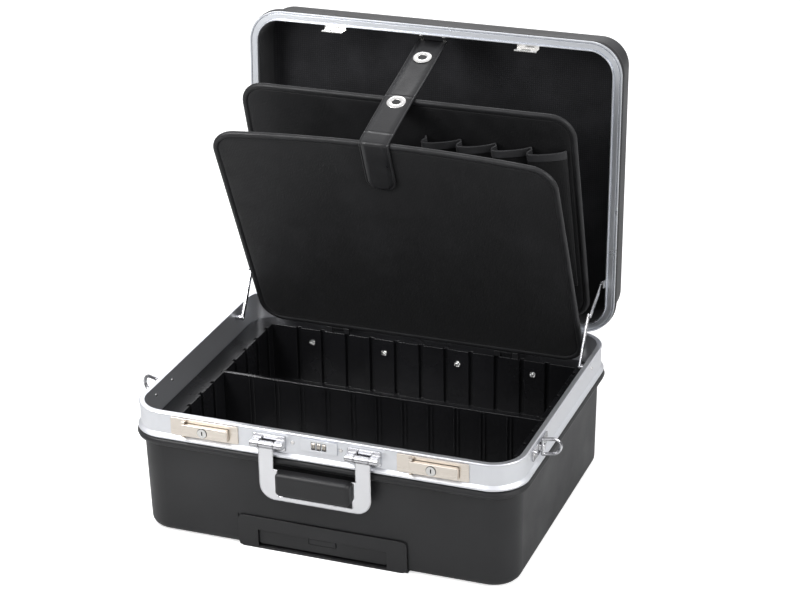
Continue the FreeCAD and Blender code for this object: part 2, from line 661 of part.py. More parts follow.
def barrel(label, low_x, high_x, y, z, radius, hole=None):
    """A round barrel along X with a bore if it has one."""
    outlines = [("circle", y, z, radius)]
    if hole:
        outlines.append(("circle", y, z, hole))
    return prism(label, "YZ", low_x, outlines, f"({high_x}) - ({low_x})")


def make_bracket(side, word):
    """A handle bracket: plate on the frame, two knuckles with webs and a gusset."""
    middle = side + "bracket_place"
    face = FLAT_Y
    half = "bracket_wide / 2"
    top = "bracket_low + bracket_high"
    base = bar(f"{middle} - {half}", f"{middle} + {half}", f"-{face} - bracket_thick", "-" + face,
               "bracket_low + lip_high + lip_out", top)
    inner = "(barrel_wide / 2 + barrel_gap)"
    pieces = [base]
    spans = ((f"{middle} - {half}", f"{middle} - {inner}"), (f"{middle} + {inner}", f"{middle} + {half}"))
    for low, high in spans:
        start = Vector(size(low), -size("barrel_y"), size("barrel_z"))
        length = size(f"({high}) - ({low})")
        pieces.append(Part.makeCylinder(size("barrel_radius"), length, start, Vector(1, 0, 0)))
        pieces.append(bar(low, high, "-barrel_y", f"-{face} - bracket_thick / 2",
                          "barrel_z - barrel_radius", "barrel_z + barrel_radius"))
    solid = pieces[0].multiFuse(pieces[1:])
    start = Vector(size(f"{middle} - {half} - overrun"), -size("barrel_y"), size("barrel_z"))
    bore = Part.makeCylinder(size("handle_pin"), size("bracket_wide + 2 * overrun"), start, Vector(1, 0, 0))
    return shape_node(f"handle_bracket_{word}", solid.cut(bore).removeSplitter())


def make_handle():
    """The bow hangs from two barrels. A black grip fills the lower opening."""
    bow = new_body("bow_plate")
    back = "barrel_y - bow_thick / 2"
    half = "bow_wide / 2"
    add(bow, "XZ", back, [("rounded", "-" + half, half, "bow_low", "barrel_z + bow_radius", "bow_radius")],
        "bow_thick")
    narrow = f"({half} - bow_arm)"
    above = "barrel_z + bow_radius + overrun"
    grip_top = "grip_low + grip_high"
    for opening in (box_outline("-" + narrow, narrow, grip_top, above),
                    box_outline("-grip_wide / 2", "grip_wide / 2", "bow_low + bow_bar", grip_top),
                    box_outline("-bow_wide", "bow_wide", "barrel_z", above)):
        remove(bow, "XZ", back, [opening], "bow_thick")
    barrels = []
    for side in ("-", ""):
        middle = side + "bracket_place"
        low, high = f"{middle} - barrel_wide / 2", f"{middle} + barrel_wide / 2"
        barrels.append(across(size("barrel_radius"), size(low), size(high), -size("barrel_y"),
                              size("barrel_z")))
    solid = bow.Shape.multiFuse(barrels)
    bore = across(size("handle_pin + pin_fit"), -size("bow_wide"), size("bow_wide"), -size("barrel_y"),
                  size("barrel_z"))
    outside = []
    clear = "(barrel_wide / 2 + barrel_gap / 2)"
    for side in ("-", ""):
        middle = side + "bracket_place"
        for low, high in ((clear, "bracket_wide"), ("-bracket_wide", "-" + clear)):
            outside.append(bar(f"{middle} + {low}", f"{middle} + {high}", "-barrel_y - overrun",
                               "-barrel_y + overrun", "barrel_z - barrel_radius - barrel_gap",
                               "barrel_z + 2 * overrun"))
    solid = solid.cut(bore).cut(Part.makeCompound(outside)).removeSplitter()
    bow_node = shape_node("handle_bow", solid)
    grip = new_body("handle_grip")
    outline = ("rounded", "-grip_wide / 2", "grip_wide / 2", "grip_low", grip_top, "grip_deep / 3")
    add(grip, "XZ", back, [outline], "grip_deep")
    soften(grip, "grip_deep / 3", at_front(back + " + grip_deep"))
    return bow_node, grip


def make_handle_pins():
    pins = []
    for number, side in enumerate(("-", "")):
        middle = side + "bracket_place"
        low, high = f"{middle} - bracket_wide / 2", f"{middle} + bracket_wide / 2"
        pins.append(barrel(f"handle_pin_{number}", low, high, "-barrel_y", "barrel_z", "handle_pin"))
    return group("handle_pins", pins)


def make_ring(side, word):
    """A carry ring: plate on the side of the frame with a rolled eye, and a D ring through it."""
    sign = -1 if side == "-" else 1
    middle = "ring_low + ring_high / 2"
    half_long, half_high = "ring_plate_long / 2", "ring_plate_high / 2"
    pad = new_body(f"ring_base_{word}")
    outline = ("rounded", f"-ring_y - {half_long}", f"-ring_y + {half_long}", f"{middle} - {half_high}",
               f"{middle} + {half_high}", "lock_edge")
    add(pad, "YZ", f"{side}{FLAT_X}", [outline], "ring_plate_thick", back=sign < 0)
    eye_x = f"{side}({FLAT_X} + ring_plate_thick + ring_eye - ring_wire / 2)"
    place = Vector(size(eye_x), -size("ring_y"), size(f"{middle} - {half_high} / 2"))
    high = size("ring_plate_high / 2")
    outer = Part.makeCylinder(size("ring_eye"), high, place)
    bore = Part.makeCylinder(size("ring_wire + pin_fit"), high, place)
    web_low = Vector(min(size(eye_x), sign * size(FLAT_X)), -size("ring_y + ring_eye"), place.z)
    web = Part.makeBox(abs(size(eye_x) - sign * size(FLAT_X)), size("2 * ring_eye"), high, web_low)
    seat = pad.Shape.fuse(outer).fuse(web).cut(bore).removeSplitter()
    node = shape_node(f"ring_plate_{word}", seat)
    wire = size("ring_wire")
    half = size("ring_high / 2")
    out = size("ring_out")
    middle_z = size(middle)
    low = Vector(0, 0, -half)
    high = Vector(0, 0, half)
    arc_x = out - half
    low_arm = Vector(arc_x, 0, -half)
    high_arm = Vector(arc_x, 0, half)
    pieces = [rod(low, high, wire), rod(low, low_arm, wire), rod(high, high_arm, wire)]
    pieces += [Part.makeSphere(wire, corner) for corner in (low, high)]
    round_end = Part.makeTorus(half, wire, Vector(arc_x, 0, 0), Vector(0, 1, 0), 0, 360, 360)
    keep = Part.makeBox(out, 4 * half, 4 * half, Vector(arc_x, -2 * half, -2 * half))
    pieces.append(round_end.common(keep))
    ring_shape = pieces[0].multiFuse(pieces[1:]).removeSplitter()
    if sign < 0:
        ring_shape.rotate(Vector(0, 0, 0), Vector(0, 0, 1), 180)
    ring_shape.rotate(Vector(0, 0, 0), Vector(0, 0, 1), sign * size("ring_swing"))
    ring_shape.translate(Vector(size(eye_x), -size("ring_y"), middle_z))
    return [node, shape_node(f"carry_ring_{word}", ring_shape)]


def make_trolley():
    """Tray in the underside, outer tubes in it, middle tubes, the T grip with inner tubes, and a button."""
    tray = new_body("tray_box")
    half = "tray_half"
    add(tray, "XY", "0", [box_outline("-" + half, half, "-" + FOOT_Y, "tray_back")], "tray_high")
    room = f"({half} - tray_wall)"
    remove(tray, "XY", "tray_wall", [box_outline("-" + room, room, "-case_depth", "tray_back - tray_wall")],
           "tray_high - 2 * tray_wall")
    bezel = new_body("trolley_bezel")
    outer = ("rounded", "-" + half, half, "tray_fit", "tray_high", "bezel_radius")
    add(bezel, "XZ", FOOT_Y + " + mate_gap", [outer], "bezel_thick - mate_gap")
    gap = "(grip_half + tube_fit)"
    opening = box_outline("-" + gap, gap, "tray_wall", "grip_bar_low + grip_bar_high + tube_fit")
    remove(bezel, "XZ", FOOT_Y, [opening], "bezel_thick")
    tray_node = group("trolley_tray", [tray, bezel])
    back = "tray_back - tray_wall"
    front = "-" + FOOT_Y + " + grip_bar_deep + tube_fit"
    bar_middle = "-" + FOOT_Y + " + grip_bar_deep / 2"
    tubes = {0: [], 1: [], 2: []}
    for side in ("-", ""):
        for level, run in tubes.items():
            start, end = (front if level < 2 else bar_middle), back + f" - {level} * tube_back"
            run.append(trolley_tube(side + "tube_place", level, start, end))
    outer = [tube.fuse(tube_seats(side + "tube_place", front, back))
             for side, tube in zip(("-", ""), tubes[0])]
    outer_node = shape_node("trolley_outer_tubes", Part.makeCompound(outer))
    middle_node = shape_node("trolley_middle_tubes", Part.makeCompound(tubes[1]))
    grip_bar = new_body("grip_bar")
    low, high = "grip_bar_low", "grip_bar_low + grip_bar_high"
    outline = ("rounded", "-grip_half", "grip_half", low, high, "bezel_radius / 2")
    add(grip_bar, "XZ", FOOT_Y + " - grip_bar_deep", [outline], "grip_bar_deep")
    button_half = "(button_wide / 2 + tube_fit)"
    way = bar("-" + button_half, button_half, "-" + FOOT_Y + " - overrun", bar_middle,
              high + " - button_high - tube_fit", high + " + overrun")
    grip = shape_node("trolley_grip", grip_bar.Shape.multiFuse(tubes[2]).cut(way).removeSplitter())
    button = bar("-button_wide / 2", "button_wide / 2", "-" + FOOT_Y + " - button_rise / 4",
                 bar_middle + " - button_travel - tube_fit", high + " - button_high", high + " - tube_fit")
    in_front = at_front(FOOT_Y + " + button_rise / 4")
    edges = [edge for edge in button.Edges if in_front(edge)]
    button = shape_node("trolley_button", button.makeFillet(size("button_high / 6"), edges))
    return [tray_node, outer_node, middle_node, grip, button]


def trolley_tube(middle, level, start, end):
    """A telescopic tube: level 0 is the outer one, shut at its back, and level 2 the solid inner one."""
    shrink = f"{level} * (tube_thick + tube_fit)"
    low_x, high_x = f"{middle} - tube_wide / 2 + {shrink}", f"{middle} + tube_wide / 2 - {shrink}"
    low_z, high_z = f"tube_low + {shrink}", f"tube_low + tube_high - {shrink}"
    solid = bar(low_x, high_x, start, end, low_z, high_z)
    if level == 2:
        return solid
    bore_end = end + (" + overrun" if level else " - tube_thick")
    return solid.cut(bar(low_x + " + tube_thick", high_x + " - tube_thick", start + " - overrun", bore_end,
                         low_z + " + tube_thick", high_z + " - tube_thick"))


def tube_seats(middle, front, back):
    """The two pads that an outer tube lies on."""
    return [bar(f"{middle} - tube_wide / 2", f"{middle} + tube_wide / 2", place, f"{place} + tube_back",
                "tray_wall", "tube_low") for place in (front, back + " - tube_back")]


def make_wheel(side, word):
    """A moulded corner housing, an axle and a wheel with a tyre groove."""
    middle = side + "wheel_place"
    fit = "mate_gap"
    front, top = f"{HOUSING_FRONT} + {fit}", f"{HOUSING_TOP} - {fit}"
    block = bar(f"{middle} - {HOUSING_HALF} + {fit}", f"{middle} + {HOUSING_HALF} - {fit}", front,
                FOOT_Y, "0", top)
    room_half = "(wheel_wide / 2 + wheel_room)"
    room = bar(f"{middle} - {room_half}", f"{middle} + {room_half}", front + " + housing_wall",
               HALF_Y + " + overrun", "-overrun", top + " - housing_wall")
    axle = across(size("axle_radius"), size(f"{middle} - {room_half} - housing_wall / 2"),
                  size(f"{middle} + {room_half} + housing_wall / 2"), size(WHEEL_Y), size("wheel_z"))
    housing = shape_node(f"wheel_housing_{word}", block.cut(room).cut(axle).removeSplitter())
    axle_node = shape_node(f"wheel_axle_{word}", axle)
    wheel = new_body(f"trolley_wheel_{word}")
    low, high = f"{middle} - wheel_wide / 2", "wheel_wide"
    add(wheel, "YZ", low, [("circle", WHEEL_Y, "wheel_z", "wheel_radius"),
                           ("circle", WHEEL_Y, "wheel_z", "axle_radius + axle_fit")], high)
    rims = lambda edge: edge.BoundBox.ZLength > size("wheel_radius")
    soften(wheel, "tyre_thick / 2", rims)
    rim = [("circle", WHEEL_Y, "wheel_z", "wheel_radius - tyre_thick"),
           ("circle", WHEEL_Y, "wheel_z", "axle_radius + tyre_thick / 2")]
    remove(wheel, "YZ", low, rim, "wheel_wide / 6")
    remove(wheel, "YZ", f"{middle} + wheel_wide / 2", rim, "wheel_wide / 6", back=True)
    return [housing, axle_node, wheel]


LID_LOW = "(base_top + mate_gap)"
LID_X = "(lid_width / 2)"
LID_Y = "(lid_depth / 2)"


def open_lid(thing):
    """Lid pieces are drawn closed and then turned to where the open lid holds them."""
    swing(thing, size("hinge_y"), size("hinge_z"), -size("open_angle"))
    return thing


def opened(y, z, degrees=None):
    """Where a point of the closed lid lies when the lid is open."""
    turn = -size("open_angle") if degrees is None else degrees
    place = Rotation(Vector(1, 0, 0), turn).multVec(Vector(0, y - size("hinge_y"), z - size("hinge_z")))
    return place.y + size("hinge_y"), place.z + size("hinge_z")


def make_lid_frame():
    """Lid section: mating face with a groove, a tongue that enters the base, a leg that holds the shell."""
    low = size(LID_LOW)
    rim = low + size("lid_rim_high")
    face = -size("lid_face")
    tongue = face + size("lid_tongue")
    drop = low - size("lid_tongue_drop")
    leg_out = -size("lid_bead_seat") - size("mate_gap")
    leg_in = leg_out - size("leg_thick")
    leg_top = low + size("lid_leg_high")
    groove_in, groove_out = -3 * size("lid_groove"), -2 * size("lid_groove")
    groove_top = low + size("lid_groove_deep")
    profile = [
        (0, low), (0, rim), (leg_out, rim), (leg_out, leg_top), (leg_in, leg_top), (leg_in, rim),
        (face, rim), (face, drop), (tongue, drop), (tongue, low), (groove_in, low),
        (groove_in, groove_top), (groove_out, groove_top), (groove_out, low),
    ]
    frame = ring(profile, size(LID_X), size(LID_Y), size("lid_radius"))
    return open_lid(shape_node("lid_frame", frame))


def make_lid_shell():
    low = size(LID_LOW) + size("lid_rim_high")
    bead_high = size("lid_bead_high")
    out = size("lid_bead_out")
    wall = size("shell_wall")
    wall_out = -size("lid_wall_in")
    top_out = wall_out - size("lid_taper")
    round_radius = size("lid_top_radius")
    top = size(LID_LOW) + size("lid_high")
    centre_u = top_out - round_radius
    centre_z = top - round_radius
    steps = 5
    profile = [(-size("lid_bead_seat"), low), (-out, low)]
    for step in range(1, steps):
        turn = math.radians(-90 + 180 * step / steps)
        profile.append((-out + 2 * out * math.cos(turn), low + bead_high / 2 * (1 + math.sin(turn))))
    profile += [(-out, low + bead_high), (wall_out, low + bead_high)]
    profile += arc_points(centre_u, centre_z, round_radius, 0, 90, steps)
    profile += arc_points(centre_u, centre_z, round_radius - wall, 90, 0, steps)
    profile += [(-size("lid_bead_seat"), low + bead_high)]
    wall_ring = ring(profile, size(LID_X), size(LID_Y), size("lid_radius"))
    half_x, half_y = size(LID_X) + centre_u, size(LID_Y) + centre_u
    cap = rounded_box(half_x, half_y, size("lid_radius") + centre_u, top - wall, top)
    return open_lid(shape_node("lid_shell", wall_ring.fuse(cap).removeSplitter()))


def make_lining():
    """A thin tray inside the lid, seated on the frame's inner edge."""
    low = size(LID_LOW) + size("lid_rim_high + mate_gap")
    thick = size("lining_thick")
    out = -size("lid_bead_seat + mate_gap + leg_thick + mate_gap")
    top = size(LID_LOW) + size("lid_high - shell_wall - lining_thick")
    corner = size("lid_top_radius") / 2
    profile = [
        (out, low), (out, top - corner), (out - corner, top), (out - corner - thick, top),
        (out - corner - thick, top - thick), (out - corner, top - thick),
        (out - thick, top - corner - thick / 2), (out - thick, low),
    ]
    wall_ring = ring(profile, size(LID_X), size(LID_Y), size("lid_radius"))
    inset = -(out - corner - thick)
    radius = size("lid_radius") - inset
    cap = rounded_box(size(LID_X) - inset, size(LID_Y) - inset, radius, top - thick, top)
    return open_lid(shape_node("lid_lining", wall_ring.fuse(cap).removeSplitter()))


def make_catch(side, word):
    """A slotted catch plate that hangs from the lid frame into the base."""
    middle = side + "catch_place"
    face = "(lid_depth / 2 - lid_face)"
    half = "catch_wide / 2"
    hang = bar(f"{middle} - {half}", f"{middle} + {half}", f"-{face} + catch_in",
               f"-{face} + catch_in + catch_thick", LID_LOW + " - catch_drop", LID_LOW + " + lid_rim_high")
    foot = bar(f"{middle} - {half}", f"{middle} + {half}", "-" + face, f"-{face} + catch_in",
               LID_LOW + " - lid_tongue_drop", LID_LOW + " + lid_rim_high")
    slot_half = "(bolt_wide / 2 + catch_room)"
    slot = bar(f"{middle} - {slot_half}", f"{middle} + {slot_half}", "-case_depth", "0",
               "lock_z + bolt_high - catch_room", "lock_z + 2 * bolt_high + catch_room")
    return open_lid(shape_node(f"lid_catch_{word}", hang.fuse(foot).cut(slot).removeSplitter()))


def knuckle_spans(side, lid):
    """The two hinges have five knuckles each. The base has the outer ones and the middle one."""
    spans = []
    count = 5
    for step in range(count):
        if (step % 2 == 1) == lid:
            start = f"{side}hinge_place - hinge_wide / 2 + {step} * hinge_wide / {count} + knuckle_gap / 2"
            spans.append((start, start + f" + hinge_wide / {count} - knuckle_gap"))
    return spans


def make_leaf(side, word, lid):
    """One leaf of a hinge: a plate on its frame, and the knuckles with the webs that carry them."""
    middle = side + "hinge_place"
    hinge_y, hinge_z = size("hinge_y"), size("hinge_z")
    left, right = f"{middle} - hinge_wide / 2", f"{middle} + hinge_wide / 2"
    rim_top = LID_LOW + " + lid_rim_high"
    pieces = []
    for low, high in knuckle_spans(side, lid):
        pieces.append(across(size("knuckle_radius"), size(low), size(high), hinge_y, hinge_z))
        if lid:
            pieces.append(bar(low, high, LID_Y, LID_Y + " + leaf_thick", "hinge_z", rim_top))
        else:
            pieces.append(bar(low, high, FLAT_Y, FLAT_Y + " + leaf_thick", "hinge_z - leaf_drop / 2",
                              "hinge_z"))
    if lid:
        pieces.append(bar(left, right, LID_Y, LID_Y + " + leaf_thick", LID_LOW, rim_top))
    else:
        pieces.append(bar(left, right, FLAT_Y, FLAT_Y + " + leaf_thick", "hinge_z - leaf_drop",
                          "hinge_z - knuckle_radius - knuckle_gap"))
    bore = across(size("pin_radius + pin_fit"), size(left), size(right), hinge_y, hinge_z)
    solid = pieces[0].multiFuse(pieces[1:]).cut(bore).removeSplitter()
    node = shape_node(f"hinge_{'lid' if lid else 'base'}_leaf_{word}", solid)
    return open_lid(node) if lid else node


def make_hinge_pins():
    pins = []
    for number, side in enumerate(("-", "")):
        low, high = f"{side}hinge_place - hinge_wide / 2", f"{side}hinge_place + hinge_wide / 2"
        pins.append(barrel(f"hinge_pin_{number}", low, high, "hinge_y", "hinge_z", "pin_radius"))
    return group("hinge_pins", pins)


def panel_section(half, thick, level, sagitta):
    """A level cut through a board, which stands back by sagitta in its middle."""
    front = [Vector(-half, -thick / 2, level), Vector(0, sagitta - thick / 2, level),
             Vector(half, -thick / 2, level)]
    back = [Vector(point.x, point.y + thick, level) for point in front[::-1]]
    if sagitta:
        long_sides = [Part.Arc(*front), Part.Arc(*back)]
    else:
        long_sides = [Part.LineSegment(side[0], side[2]) for side in (front, back)]
    ends = [Part.LineSegment(front[2], back[0]), Part.LineSegment(back[2], front[0])]
    order = (long_sides[0], ends[0], long_sides[1], ends[1])
    return Part.Wire([edge.toShape() for edge in order])


def board_panel(half, high, thick, bow):
    """An upright panel over the line y = 0, z = 0. Its top edge is bowed to the back in the middle."""
    first = panel_section(half, thick, size("board_start"), bow * size("board_low_share"))
    return Part.makeLoft([first, panel_section(half, thick, high, bow)], True, True)


def rounded_way(half, low, high, radius):
    """A block through the board's thickness with round corners, to trim a panel by."""
    deep = size("board_half")
    block = Part.makeBox(2 * half, deep, high - low, Vector(-half, -deep / 2, low))
    corners = [edge for edge in block.Edges if edge.BoundBox.YLength > deep / 2]
    return block.makeFillet(radius, corners)


def make_board(name, half, high, bow, pivot_y, pivot_z, lean):
    """A board: the panel, and the binding round its edge, both turned about the hinge line."""
    start = size("board_start")
    edge = size("binding")
    radius = size("board_radius")
    outer = rounded_way(half, start, high, radius)
    inner = rounded_way(half - edge, start + edge, high - edge, radius - edge)
    core = board_panel(half, high, size("board_thick"), bow).common(inner)
    rim = board_panel(half, high, size("board_thick + binding_extra"), bow).common(outer).cut(inner)
    lugs = []
    for side in (-1, 1):
        middle = side * size("board_hinge_place")
        wide = size("lug_wide")
        lug = Part.makeBox(wide, 2 * size("board_lug"), start + edge / 2,
                           Vector(middle - wide / 2, -size("board_lug"), 0))
        lugs.append(lug.fuse(across(size("board_lug"), middle - wide / 2, middle + wide / 2, 0, 0)))
    bore = across(size("board_rod + pin_fit"), -half, half, 0, 0)
    rim = rim.multiFuse(lugs).cut(bore).removeSplitter()
    nodes = [shape_node(name, core), shape_node(name + "_binding", rim)]
    for node in nodes:
        node.Placement = Placement(Vector(0, pivot_y, pivot_z), Rotation(Vector(1, 0, 0), lean))
    return nodes


def hinge_ears(pivot_y, pivot_z, seat):
    """Pairs of ears beside each board lug, with the rod between them. The seat is a block per ear."""
    ears = []
    for side in (-1, 1):
        middle = side * size("board_hinge_place")
        wide = size("lug_wide")
        gap = size("lug_gap")
        ear = wide / 2
        for low in (middle - wide / 2 - gap - ear, middle + wide / 2 + gap):
            tube = across(size("board_lug"), low, low + ear, pivot_y, pivot_z)
            y0, y1, z0, z1 = seat
            ears.append(tube.fuse(Part.makeBox(ear, y1 - y0, z1 - z0, Vector(low, y0, z0))))
        reach = ear + wide / 2 + gap
        ears.append(across(size("board_rod"), middle - reach, middle + reach, pivot_y, pivot_z))
    halves = [ears[:3], ears[3:]]
    return [half[0].multiFuse(half[1:]).removeSplitter() for half in halves]


def make_base_ears():
    y, z = size("board_pivot_y"), size("board_pivot_z")
    lug = size("board_lug")
    ears = hinge_ears(y, z, (y - lug, y + lug, size(FLANGE_TOP), z))
    return shape_node("board_hinge", Part.makeCompound(ears))


def make_lid_ears():
    y, z = opened(size("rear_pivot_y"), size("rear_pivot_z"), size("open_angle"))
    lug = size("board_lug")
    seat = (y, size(LID_Y) - size("lid_face"), z - lug, z + lug)
    return open_lid(shape_node("lid_board_hinge", Part.makeCompound(hinge_ears(y, z, seat))))


def bulge(middle, face, reach, deep, start, end):
    """An upright block whose front is a shallow arc and whose back is flat."""
    chord = [Vector(middle - reach, face, start), Vector(middle, face - deep, start),
             Vector(middle + reach, face, start)]
    edges = [Part.Arc(*chord).toShape(), Part.LineSegment(chord[2], chord[0]).toShape()]
    return Part.Face(Part.Wire(edges)).extrude(Vector(0, 0, end - start))


def make_pockets():
    """Four tool pockets in a row on the right half of the rear board, open at the top."""
    wall = size("pocket_wall")
    gap = size("pocket_gap")
    low = size("pocket_low")
    high = size("rear_high - pocket_mouth")
    face = -size("board_thick / 2") - gap
    reach, deep = size("pocket_pitch / 2 - pocket_gap"), size("pocket_bulge")
    pockets = []
    for number in range(4):
        middle = size(f"pocket_left + ({number} + 1 / 2) * pocket_pitch")

        outer = bulge(middle, face, reach, deep, low, high)
        inner = bulge(middle, face - wall / 2, reach - wall * 2, deep - wall, low + wall, high + wall)
        hem = bulge(middle, face, reach, deep + wall / 2, high - size("hem_high"), high)
        pockets.append(outer.fuse(hem).cut(inner).removeSplitter())
    node = shape_node("tool_pockets", Part.makeCompound(pockets))
    node.Placement = Placement(Vector(0, size("rear_pivot_y"), size("rear_pivot_z")),
                               Rotation(Vector(1, 0, 0), size("rear_lean")))
    return node


def board_point(pivot_y, pivot_z, lean, out, up):
    """Where a point of a board lies: out to the back of its hinge line, and up along the board."""
    place = Rotation(Vector(1, 0, 0), lean).multVec(Vector(0, out, up))
    return place.y + pivot_y, place.z + pivot_z


def ribbon(points, thick):
    """A flat strap through points (x, y, z), its thickness on the upper or outer side."""
    normals = []
    for step in range(len(points)):
        before = points[max(step - 1, 0)]
        after = points[min(step + 1, len(points) - 1)]
        way = Vector(0, after[1] - before[1], after[2] - before[2]).normalize()
        normals.append(Vector(0, way.z, -way.y))
    half = size("strap_wide / 2")
    wires = []
    for (x, y, z), normal in zip(points, normals):
        near = [Vector(x - half, y, z), Vector(x + half, y, z)]
        far = [corner + normal * thick for corner in near[::-1]]
        corners = near + far
        wires.append(Part.makePolygon(corners + corners[:1]))
    pieces = [Part.makeLoft(list(pair), True, True) for pair in zip(wires, wires[1:])]
    return pieces[0] if len(pieces) == 1 else pieces[0].multiFuse(pieces[1:])


def oval(long, wide, thick):
    straight = (long - wide) / 2
    block = Part.makeBox(2 * straight, wide, thick, Vector(-straight, -wide / 2, 0))
    ends = [Part.makeCylinder(wide / 2, thick, Vector(place, 0, 0)) for place in (-straight, straight)]
    return block.multiFuse(ends).removeSplitter()


def eyelet(start, end, along_share):
    """An oval metal eyelet that lies on the strap, its long way across the strap."""
    middle = start + (end - start) * along_share
    way = (end - start).normalize()
    normal = Vector(0, way.z, -way.y)
    normal = normal * (1 if normal.z > 0 else -1)
    side = normal.cross(way)
    turn = Rotation(side, way * -1, normal, "XZY")
    plate_shape = oval(size("eyelet_long"), size("eyelet_wide"), size("eyelet_thick"))
    hole = oval(size("eyelet_long - eyelet_wide * 3 / 5"), size("eyelet_wide * 2 / 5"),
                size("2 * strap_thick + eyelet_thick"))
    hole.translate(Vector(0, 0, -size("2 * strap_thick")))
    for form in (plate_shape, hole):
        form.Placement = Placement(middle + normal * size("strap_thick"), turn).multiply(form.Placement)
    return plate_shape, hole


def make_strap():
    thick = size("strap_thick")
    root_y, root_z = opened(size(LID_Y) - size("strap_root_up"), size(LID_LOW) + size("strap_root_in"))
    rear = (size("rear_pivot_y"), size("rear_pivot_z"), size("rear_lean"))
    front = (size("board_pivot_y"), size("board_pivot_z"), size("board_lean"))
    edge = size("board_thick + binding_extra") / 2
    rest = size("mate_gap")
    rear_top = board_point(*rear, 0, size("rear_high + strap_rest"))
    high, bow = size("board_high"), size("board_bow")
    back_top = board_point(*front, bow + edge + rest, high + rest)
    front_top = board_point(*front, bow - edge - rest, high + rest)
    tail_out = bow * (1 - size("strap_tail") / high) - edge - rest
    tail = board_point(*front, tail_out, high - size("strap_tail"))
    shift = size("strap_shift")
    upper = [(0, root_y, root_z), (shift / 2, *rear_top)]
    lower = [(shift / 2, *rear_top), (shift, *back_top), (shift, *front_top), (shift, *tail)]
    upper_shape, lower_shape = ribbon(upper, thick), ribbon(lower, thick)
    ends = [[Vector(*point) for point in path[:2]] for path in (upper, lower)]
    first_share = size("eyelet_first") / (ends[0][1] - ends[0][0]).Length
    second_share = size("eyelet_wide / 2 + mate_gap") / (ends[1][1] - ends[1][0]).Length
    nodes = []
    for name, shape, pair, share in (("strap_upper", upper_shape, ends[0], first_share),
                                     ("strap_lower", lower_shape, ends[1], second_share)):
        metal, hole = eyelet(*pair, share)
        nodes.append(shape_node(name, shape.fuse(metal).cut(hole).removeSplitter()))
    return nodes


def link(y0, z0, y1, z1, low_x, thick, wide, hole):
    """A flat bar with round ends and a hole at its first end, between two pivots."""
    way = Vector(0, y1 - y0, z1 - z0)
    edge = Vector(0, -way.z, way.y).normalize() * (wide / 2)
    start, end = Vector(low_x, y0, z0), Vector(low_x, y1, z1)
    corners = [start + edge, end + edge, end - edge, start - edge]
    solid = Part.Face(Part.makePolygon(corners + corners[:1])).extrude(Vector(thick, 0, 0))
    discs = [across(wide / 2, low_x, low_x + thick, place.y, place.z) for place in (start, end)]
    bore = across(hole, low_x, low_x + thick, y0, z0)
    return solid.multiFuse(discs).cut(bore).removeSplitter()


def knee():
    """Where the two links of a stay meet when the lid is open, above the line between their pivots."""
    y0, z0 = size("stay_base_y"), size("stay_base_z")
    y1, z1 = size("stay_lid_y"), size("stay_lid_z")
    low, high = size("stay_low_long"), size("stay_high_long")
    apart = math.hypot(y1 - y0, z1 - z0)
    run = (low ** 2 - high ** 2 + apart ** 2) / (2 * apart)
    rise = math.sqrt(low ** 2 - run ** 2)
    uy, uz = (y1 - y0) / apart, (z1 - z0) / apart
    return y0 + run * uy - rise * uz, z0 + run * uz + rise * uy


def make_stay(side, word):
    """A folding lid stay: pivot on the base frame, two links, and a pivot plate on the lid frame."""
    sign = -1 if side == "-" else 1
    thick, gap, wide = size("stay_thick"), size("stay_gap"), size("stay_wide")
    pin, fit = size("stay_pin"), size("pin_fit")
    middle = size("stay_x")
    base_y, base_z = size("stay_base_y"), size("stay_base_z")
    lid_y, lid_z = size("stay_lid_y"), size("stay_lid_z")
    knee_y, knee_z = knee()
    wall = size(FLAT_X) - size("section_wide")
    low_x = middle - thick - gap / 2
    high_x = middle + gap / 2
    lower = link(base_y, base_z, knee_y, knee_z, low_x, thick, wide, pin + fit)
    lower = lower.fuse(across(pin, low_x + thick, low_x + thick + gap / 2, knee_y, knee_z))
    upper = link(lid_y, lid_z, knee_y, knee_z, high_x, thick, wide, pin + fit)
    post = across(pin, low_x - thick / 2, wall, base_y, base_z)
    collar = across(size("stay_collar"), low_x + thick + gap / 2, wall, base_y, base_z)
    base_pivot = post.fuse(collar)
    closed_y, closed_z = opened(lid_y, lid_z, size("open_angle"))
    face = size(LID_X) - size("lid_face")
    plate_half, plate_thick = size("stay_bracket_half"), size("stay_bracket_thick")
    lid_low = size(LID_LOW)
    plate_high = lid_low + size("lid_rim_high") - closed_z + plate_half
    plate_shape = Part.makeBox(plate_thick, 2 * plate_half, plate_high,
                               Vector(face - plate_thick, closed_y - plate_half, closed_z - plate_half))
    post = across(pin, high_x - gap / 4, face, closed_y, closed_z)
    lid_pivot = plate_shape.fuse(post).removeSplitter()
    shapes = {"stay_lower_link_": lower, "stay_upper_link_": upper, "stay_base_pivot_": base_pivot,
              "stay_lid_pivot_": lid_pivot}
    nodes = []
    for name, solid in shapes.items():
        if sign < 0:
            solid = solid.mirror(Vector(0, 0, 0), Vector(1, 0, 0))
        node = shape_node(name + word, solid)
        nodes.append(open_lid(node) if name == "stay_lid_pivot_" else node)
    return nodes


PAIRS = {
    "lock_plate_": "lock_plates", "lock_case_": "lock_cases", "handle_bracket_": "handle_brackets",
    "ring_plate_": "ring_plates", "wheel_housing_": "wheel_housings", "wheel_axle_": "wheel_axles",
    "stay_base_pivot_": "stay_base_pivots", "stay_lid_pivot_": "stay_lid_pivots",
    "lid_catch_": "lid_catches",
    "hinge_base_leaf_": "hinge_base_leaves", "hinge_lid_leaf_": "hinge_lid_leaves",
}


def paired(sides):
    """Fixed pieces that come as a like pair share one sub-part. Moving ones stay apart."""
    nodes = [node for node in sides if not node.Label.startswith(tuple(PAIRS))]
    for start, name in PAIRS.items():
        nodes.append(group(name, [node for node in sides if node.Label.startswith(start)]))
    return nodes


